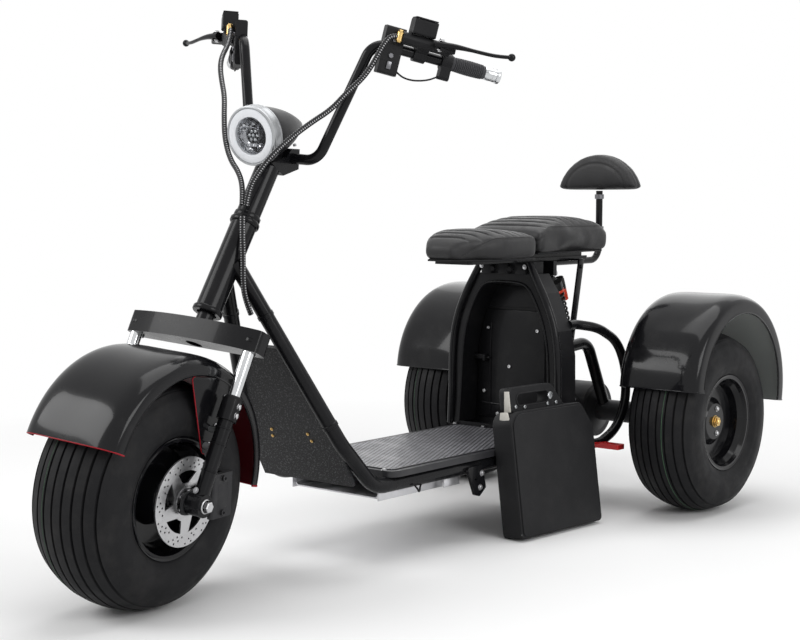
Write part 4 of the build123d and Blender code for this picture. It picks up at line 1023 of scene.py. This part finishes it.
# Shocks: springs, collars, threads and red reservoirs
CAN = [(113, 0), (113, 9.5), (114, 11.6), (118, 11.6), (118.6, 11.2), (120, 11.2), (120.6, 11.7), (143, 11.7),
       (144, 11.2)]
CAN_CAP = [(144, 11.3), (145, 12), (150, 12), (150.6, 11.4), (152, 11.4), (152.6, 12), (170, 12), (174, 10.5),
           (176.5, 6), (177, 0)]
COIL_STEPS, COIL_TURN, COIL_START, COIL_END = 187, 22, 32, 148
for side, name in SIDES:
    low, top = Vector((55 * side, 596, 412)), Vector((55 * side, 518, 598))
    d, across, up = frame_of(top - low)
    coil = []
    for i in range(COIL_STEPS + 1):
        a, height = 2 * pi * i / COIL_TURN, COIL_START + (COIL_END - COIL_START) * i / COIL_STEPS
        coil.append(low + d * height + (across * cos(a) + up * sin(a)) * 19)
    piece("shock_spring_" + name, tube(coil, 3.0, 8), shock_black)
    collars = [lathe([(a, 15.4), (a, 22.4), (a + 1, 23), (a + 6, 23), (a + 7, 22.4), (a + 7, 15.4)],
                     low, d, 40) for a in (24, 148)]
    piece("shock_collars_" + name, collars, shock_red)
    threads = [lathe([(a, 15.2), (a + 1, 16.2), (a + 2, 15.2)], low, d, 32) for a in range(156, 176, 3)]
    piece("shock_threads_" + name, threads, dark_steel, slot="brake_steel")
    can = low + Vector((0, 0.922, 0.387)) * 29
    piece("shock_can_red_" + name, lathe(CAN, can, d, 32), shock_red)
    piece("shock_can_cap_" + name, lathe(CAN_CAP, can, d, 32), shock_black)
    bolts = [hex_bolt(eye + X * side * 11, X * side, 7, 6) for eye in (low, top)]
    piece("shock_bolts_" + name, bolts, steel)

# Battery case details, in the case's own plane, which leans on the tower
CASE_FOOT = Vector((189.7, 136, 0))
CASE_AHEAD = Vector((sin(radians(4.4)), cos(radians(4.4)), 0))
LEAN = Matrix.Rotation(radians(-7.8), 4, CASE_AHEAD)


def on_case(along, up, out):
    return CASE_FOOT + LEAN @ (CASE_AHEAD * along + Z * up + CASE_AHEAD.cross(Z) * out)


CASE_UP = (on_case(0, 1, 0) - on_case(0, 0, 0)).normalized()
CASE_FACE = (on_case(0, 0, 1) - on_case(0, 0, 0)).normalized()
CASE = rounded([(0, 0), (302, 0), (302, 232), (262, 292), (20, 292), (0, 272)], 13)


def inset(ring, d):
    """The outline drawn in towards its middle, by d on each axis."""
    cx, cy = sum(x for x, _ in ring) / len(ring), sum(y for _, y in ring) / len(ring)
    return [(x + (cx - x) * d / max(abs(cx - x), 1), y + (cy - y) * d / max(abs(cy - y), 1)) for x, y in ring]


def handle_slot(radius, count):
    """The opening of the carrying handle: two half circles, each 44.9 mm from its middle."""
    middle, reach, height = 99, 44.9, 317.8
    return [(middle + (reach if cos(a) > 0 else -reach) + radius * cos(a), height + radius * sin(a))
            for a in around(count)]


case = slab(CASE, on_case(0, 0, 0), CASE_AHEAD, CASE_UP, 0, 58, 3.5, 3)
handle = holed_plate(rounded([(20, 288), (216, 288), (170, 348), (20, 348)], 14), [handle_slot(14, 32)],
                     on_case(0, 0, 29), CASE_AHEAD, CASE_UP, 34.8, 2.0)
piece("case_body", [case, handle], case_black, replaces="battery_case")
cover = slab(inset(CASE, 5), on_case(0, 0, 58), CASE_AHEAD, CASE_UP, -1, 3.5, 2.6, 3)
piece("case_cover", cover, case_black)
cover = slab(inset(CASE, 5), on_case(0, 0, 0), CASE_AHEAD, CASE_UP, -3.0, 1, 2.4, 3)
piece("case_back_cover", cover, case_black)
edge = [on_case(1.2, u, 56.8) for u in range(10, 266, 8)]
piece("case_edge_line", tube(edge, 1.0, 8), satin)
line = inset(CASE, 0.6)
steps = [(x0 + (x1 - x0) * k / 6, y0 + (y1 - y0) * k / 6)
         for (x0, y0), (x1, y1) in zip(line, line[1:] + line[:1]) for k in range(6)]
for name, out in (("case_front_line", 54), ("case_back_line", 6)):
    piece(name, tube([on_case(x, y, out) for x, y in steps], 1.0, 8, closed=True), case_black)
edges = [slab(ring, on_case(along, 0, 0), CASE_FACE, CASE_UP, -1.4, 1.4, 1.0) for along, ring in (
    (19.4, [(24, 292), (44, 292), (44, 340), (30, 340)]),
    (5.4, [(20, 276), (50, 270), (46, 293), (24, 293)]))]
piece("case_cream_edge", edges, cream)
rim = [on_case(x, y, 47) for x, y in handle_slot(14.6, 40)]
piece("case_handle_rim", tube(rim, 1.8, 8, closed=True), case_black)
screws = [cap_screw(on_case(a, u, 46.5), CASE_FACE, 4.4, 3)
          for a, u in ((34, 303), (66, 300), (150, 300), (182, 300))]
piece("case_screws", screws, satin, slot="brake_steel")
lock = [lathe([(0, 9), (2.4, 9), (3, 8), (3, 4.4), (2, 4.2), (2, 0)], on_case(163, 318, 46.5), CASE_FACE, 28),
        block(on_case(163, 318, 49), (2, 6, 3), CASE_AHEAD, CASE_UP, 0.6)]
piece("case_lock", lock, satin, slot="brake_steel")
feet = [block(on_case(a, 2.6, 30), (34, 30, 5), CASE_AHEAD, CASE_FACE, 1.6) for a in (46, 256)]
piece("case_feet", feet, plastic_black)


# Fenders: hoods with a rounded crown
def hood_point(c, radius, angle, x):
    return Vector(c) + X * x + spoke(radius, radians(angle))


def section(half, radius, skirt, inward=0.0):
    """The hood's outline across, from one lip over the crown to the other."""
    side = [(-half, radius - 34 - skirt), (-half, radius - 26), (-half + 2, radius - 12),
            (-half + 22, radius - 1), (-half + 52, radius + 1.5), (0, radius + 1)]
    line = smooth_line([(x, r, 0) for x, r in side + [(-x, r) for x, r in reversed(side[:-1])]], 5)
    out = []
    for k, q in enumerate(line):
        d = (line[min(k + 1, len(line) - 1)] - line[max(k - 1, 0)]).normalized()
        out.append((q.x + d.y * inward, q.y - d.x * inward))
    return out


def hood(centre, size, start, end, steps=60):
    """A hood swept about its centre between two angles, and the thin lining inside it."""
    outer, inner, lining = section(*size), section(*size, 3.0), section(*size, 3.5)
    loop = outer + inner[::-1]
    n, m = len(loop), len(lining)
    angles = [start + (end - start) * k / steps for k in range(steps + 1)]
    verts = [hood_point(centre, r, a, x) for a in angles for x, r in loop]
    faces = [(i * n + k, i * n + (k + 1) % n, (i + 1) * n + (k + 1) % n, (i + 1) * n + k)
             for i in range(steps) for k in range(n)]
    for at in (0, steps * n):
        faces += [(at + k, at + k + 1, at + n - 2 - k, at + n - 1 - k) for k in range(len(outer) - 1)]
    inside = [hood_point(centre, r, a, x) for a in angles for x, r in lining]
    inside_faces = [(i * m + k, i * m + k + 1, (i + 1) * m + k + 1, (i + 1) * m + k)
                    for i in range(steps) for k in range(m - 1)]
    return (verts, faces), (inside, inside_faces)


def hood_edge(centre, size, angle, radius):
    """A rounded edge across the hood at one of its ends."""
    return tube([hood_point(centre, r - 1.5, angle, x) for x, r in section(*size)], radius, 8)


FRONT_HOOD, FRONT_SIZE, REAR_SIZE = Vector((0, -774, 266)), (112, 237, 0), (110, 242, 10)
EAR = rounded([(-740, 313), (-696, 313), (-652, 451), (-780, 467)], 9)
shell, lining = hood(FRONT_HOOD, FRONT_SIZE, -12, 157)
ears = [slab(EAR, (x, 0, 0), Y, Z, 0, 3, 1) for x in (109, -112)]
piece("front_hood", [shell] + ears, gloss_black, "steering", replaces="front_fender")
ears = [slab(EAR, (x, 0, 0), Y, Z, 0, 0.6) for x in (107.8, -108.4)]
piece("front_hood_lining", [lining] + ears, red_lining, "steering")
edges = [tube([(x, y, z) for y, z in EAR[18:24] + EAR[:6]], 1.0, 8) for x in (110.5, -110.5)]
piece("front_ear_edges", edges, red_line, "steering")
piece("front_fender_red_edge", hood_edge(FRONT_HOOD, FRONT_SIZE, 157.2, 1.4), red_line, "steering")
piece("front_fender_back_edge", hood_edge(FRONT_HOOD, FRONT_SIZE, -12.2, 2.0), red_line, "steering")
for side, name in SIDES:
    lip = [hood_point(FRONT_HOOD, 203.5, a, 110.8 * side) for a in range(-12, 158, 4)]
    piece("front_fender_bead_" + name, tube(lip, 2.4, 8), gloss_black, "steering")
    bolts = [hex_bolt(FRONT_HOOD + Vector((112.2 * side, y, z)), X * side, 5, 4)
             for y, z in ((52, 62), (70, 96), (96, 150))]
    piece("front_fender_bolts_" + name, bolts, steel, "steering")
    centre = (360 * side, 760, 305)
    shell, lining = hood(centre, REAR_SIZE, -11, 175)
    piece("rear_hood_" + name, shell, gloss_black, replaces="rear_fender_" + name)
    piece("rear_hood_lining_" + name, lining, grey_lining)
    for tag, x in (("outer", 108.8), ("inner", -108.8)):
        lip = [hood_point(centre, 198.5, a, x * side) for a in range(-11, 176, 4)]
        piece(f"rear_fender_bead_{tag}_{name}", tube(lip, 2.6, 8), gloss_black)
    for tag, angle in (("front", 174.9), ("back", -10.9)):
        piece(f"rear_fender_edge_{tag}_{name}", hood_edge(centre, REAR_SIZE, angle, 2.0), gloss_black)
    bolts = [hex_bolt((243.7 * side, 734, z), -X * side, 5, 4) for z in (460, 492)]
    piece("rear_fender_bolts_" + name, bolts, dark_steel)

# Fork, head tube and bar hardware
for side, name in SIDES:
    foot, out = FRONT_HUB + X * 142 * side, X * side
    seal = lathe([(209.7, 12.4), (209.7, 17.5), (214.7, 17), (216.7, 14.2), (216.7, 12.4)], foot, FORK_UP, 32)
    piece("fork_seal_" + name, seal, plastic_black, "steering")
    rings = [lathe([(a, 15.2), (a + 0.6, 16.4), (a + 3, 16.4), (a + 3.6, 15.2)], foot, FORK_UP, 32)
             for a in (64, 118, 150)]
    piece("fork_rings_" + name, rings, frame_black, "steering")
    bolts = [hex_bolt(foot + FORK_UP * a + out * 19, out, 5, 4) for a in (180, 198)]
    bolts.append(hex_bolt(foot + FORK_UP * 24 + Vector((0, -19, 8)), (0, -0.9, 0.42), 4.4, 4))
    piece("fork_bolts_" + name, bolts, steel, "steering")
    cap = [(19, 16), (24.5, 16), (26, 14), (26, 7), (24.6, 6.6), (24.6, 0)]
    piece("fork_cap_" + name, lathe(cap, foot + FORK_UP * 306.7, FORK_UP, 32), frame_black, "steering")
bridge = surface(nodes["fork_bridge"].data)
straighten = TURN.inverted()
pinch = []
for x in (-141, 141):
    place, normal, _, _ = bridge.ray_cast(placed((x, -900, 500), "steering"), TURN.to_3x3() @ Y, 1.0)
    if place is not None:
        out = straighten.to_3x3() @ normal
        if out.y > 0:
            out = -out
        pinch.append(cap_screw(straighten @ (place * 1000) - out * 0.5, out, 6.5, 5))
piece("bridge_pinch_screws", pinch, dark_steel, "steering", "brake_steel")
cups = [lathe([(a - 3, 21), (a - 3, 29.5), (a - 1, 31), (a + 6, 31), (a + 8, 29.5), (a + 8, 27)],
              HEAD, HEAD_DIR) for a in (0, 203)]
piece("head_cups", cups, frame_black)
nut = [(212, 25.2), (212, 27.5), (214, 28.5), (222, 28.5), (224, 27.5), (224, 25.2)]
piece("stem_nut", lathe(nut, HEAD, HEAD_DIR, 12), frame_black, "steering")
bolts = [cap_screw((x, y, z), (0, -0.3, 0.95), 4, 4.4)
         for x in (-16, 16) for y, z in ((-398, 892), (-366, 898))]
piece("bar_clamp_bolts", bolts, steel, "steering")

# Lapped collars on the down tubes, and two brass bolts a side through the leg shield's face
shield_low, shield_up = Vector((0, -362, 280)), Vector((0, -186, 380)).normalized()
shield_out = X.cross(shield_up)
bolts = []
for side, name in SIDES:
    top, low = Vector((18 * side, -548, 660)), Vector((134 * side, -362, 280))
    laps = [lathe([(t, 16), (t + 1, 17.6), (t + 9, 17.6), (t + 10, 16)], top, low - top, 32)
            for t in (120, 388)]
    piece("down_tube_laps_" + name, laps, frame_black)
    for across, along in ((53, 19), (57.5, 2)):
        place = shield_low + X * across * side + shield_up * along + shield_out * 4.9
        bolts.append(cap_screw(place, shield_out, 3.6, 2.4))
piece("leg_shield_bolts", bolts, brass, slot="chrome")

# Hand controls
for side, name in SIDES:
    grip_dir = Vector((0.663 * side, 0.727, -0.178)).normalized()
    grip_start = Vector((279.7 * side, -199.3, 1089.4))
    across = Vector((0.739 * side, -0.674, 0)).normalized()
    up = Vector((0.120 * side, 0.132, 0.984)).normalized()

    def bar(along, a, u):
        """A point by its place along the bar from the grip's start, across it and up from it."""
        return grip_start - grip_dir * along + across * a + up * u

    lid_low = -3 if side > 0 else 0
    lid = slab([(-16.5, -24), (16.5, -24), (16.5, 24), (-16.5, 24)], bar(81, 25, 67.6), across, -grip_dir,
               lid_low, lid_low + 3, 1.2)
    piece("reservoir_lid_" + name, lid, plastic_black, "steering")
    screws = [cap_screw(bar(81 + y, 25 + x, 67), up, 2.6, 2.2) for x in (-11, 11) for y in (-18, 18)]
    piece("reservoir_screws_" + name, screws, steel, "steering")
    banjo = [lathe([(-8, 7.4), (8, 7.4), (8, 0)], bar(126, 28, 22), up, 24),
             hex_bolt(bar(126, 28, 30), up, 6, 6), hex_bolt(bar(126, 28, 14), -up, 6, 4)]
    piece("banjo_" + name, banjo, brass, "steering")
    buttons = [lathe([(0, 5.4), (3, 5.4), (4, 4.4), (4, 0)], bar(133, 17, -18), across, 20),
               block(bar(133, 18, -38), (6, 16, 10), across, up, 1.2),
               lathe([(0, 4), (3, 4), (3.6, 3), (3.6, 0)], bar(133, 17, 14), across, 20)]
    piece("switch_buttons_" + name, buttons, dark_steel, "steering")
    seams = [block(bar(133, 4, z), (27, 43, 1.0), across, -grip_dir, 0.4) for z in (-30, 6)]
    piece("switch_seams_" + name, seams, plastic_black, "steering")
    pivot = Vector((290 * side, -262, 1122))
    pin = [hex_bolt(pivot + up * 9, up, 5, 5), hex_bolt(pivot - up * 9, -up, 5, 4)]
    piece("lever_pin_" + name, pin, steel, "steering")
    rings = [lathe([(a, 16.4), (a + 0.5, 17.2), (a + 2.5, 17.2), (a + 3, 16.4)], grip_start, -grip_dir, 32)
             for a in (4, 16)]
    piece("throttle_rings_" + name, rings, plastic_black, "steering")
    wire = smooth_line([bar(*q) for q in ((118, 2, -40), (104, 8, -52), (80, 10, -56), (52, 8, -50),
                                          (30, 4, -40), (18, 4, -30))])
    piece("throttle_wire_" + name, tube(wire, 1.9, 8), plastic_black, "steering")

# Tray, stand and deck hardware
plates = []
for side in (1, -1):
    lip = [(-236, 139), (-14, 139), (-14, 157), (-110, 157), (-112, 160), (-236, 160)]
    plates.append(slab(lip, (127 * side, 0, 0), Y, Z, -1.2, 1.2, 0.6))
    lip = [(-10, 136), (48, 136), (48, 154), (-10, 154)]
    plates.append(slab(lip, (128 * side, 0, 0), Y, Z, -1.2, 1.2, 0.6))
piece("tray_sides", plates, tray_metal)
hook = [(158, -150, 166), (163, -146, 158), (163, -140, 150), (158, -132, 152), (150, -120, 160),
        (146, -110, 163)]
piece("tray_wire", tube(smooth_line(hook), 2.2, 8), plastic_black)
piece("tray_bolts", [hex_bolt((x, y, 141.8), -Z, 5, 4) for x in (-80, 80) for y in (-200, -120, -40)], steel)
bolts = [hex_bolt((165.3 * side, y, z), X * side, 5.5, 4.5)
         for side in (1, -1) for y, z in ((78, 128), (84, 160))]
piece("stand_bolts", bolts, steel)
piece("deck_bolts", [hex_bolt((x, -219, 205.1), Z, 5, 3) for x in (-130, 130)], steel)

# Caliper, motor and axle details
face = [cap_screw((129, -692, z), X, 6, 5) for z in (262, 194)]
face.append(block((120, -692, 228), (20, 34, 52), bevel=4))
piece("caliper_face", face, motor_metal, "steering")
motor, axle = Vector((0, 607.7, 228)), Vector((0, 734, 228))
fins = [lathe([(x, 53), (x + 0.6, 55.4), (x + 3, 55.4), (x + 3.6, 53)], motor, X, 64)
        for x in range(-46, 39, 14)]
piece("motor_fins", fins, motor_metal)
screws = []
for a in around(6):
    for side in (1, -1):
        screws.append(cap_screw(motor + X * 56 * side + spoke(42, a), X * side, 4, 3))
        screws.append(cap_screw(axle + X * 252 * side + spoke(34, a), X * side, 3.6, 3))
piece("motor_screws", screws, steel)

# Floor: pale, and plain white to the camera beyond its middle
bpy.ops.mesh.primitive_grid_add(x_subdivisions=8, y_subdivisions=8, size=60, location=(0, 0, 0))
floor = bpy.context.object
floor.name = "floor"
p = Paint("floor_pale", (0.9, 0.9, 0.9), 0.9, level=0.1)
p.mix(p.noise(0.8, 4), 0.3, 0.8, 0.15, (0.88, 0.88, 0.88))
p.done()
reach = p.add("VectorMath", {0: p.coord}, operation="LENGTH").outputs["Value"]
plain = p.add("Emission", {"Color": (1, 1, 1, 1)}).outputs[0]
far = p.math("MULTIPLY", seen_rays(p.tree), p.ramp(reach, 1.3, 2.4))
blend = p.add("MixShader", {0: far, 1: p.shader.outputs[0], 2: plain}).outputs[0]
plug(p.tree, p.tree.nodes["Material Output"].inputs["Surface"], blend)
floor.data.materials.append(p.material)
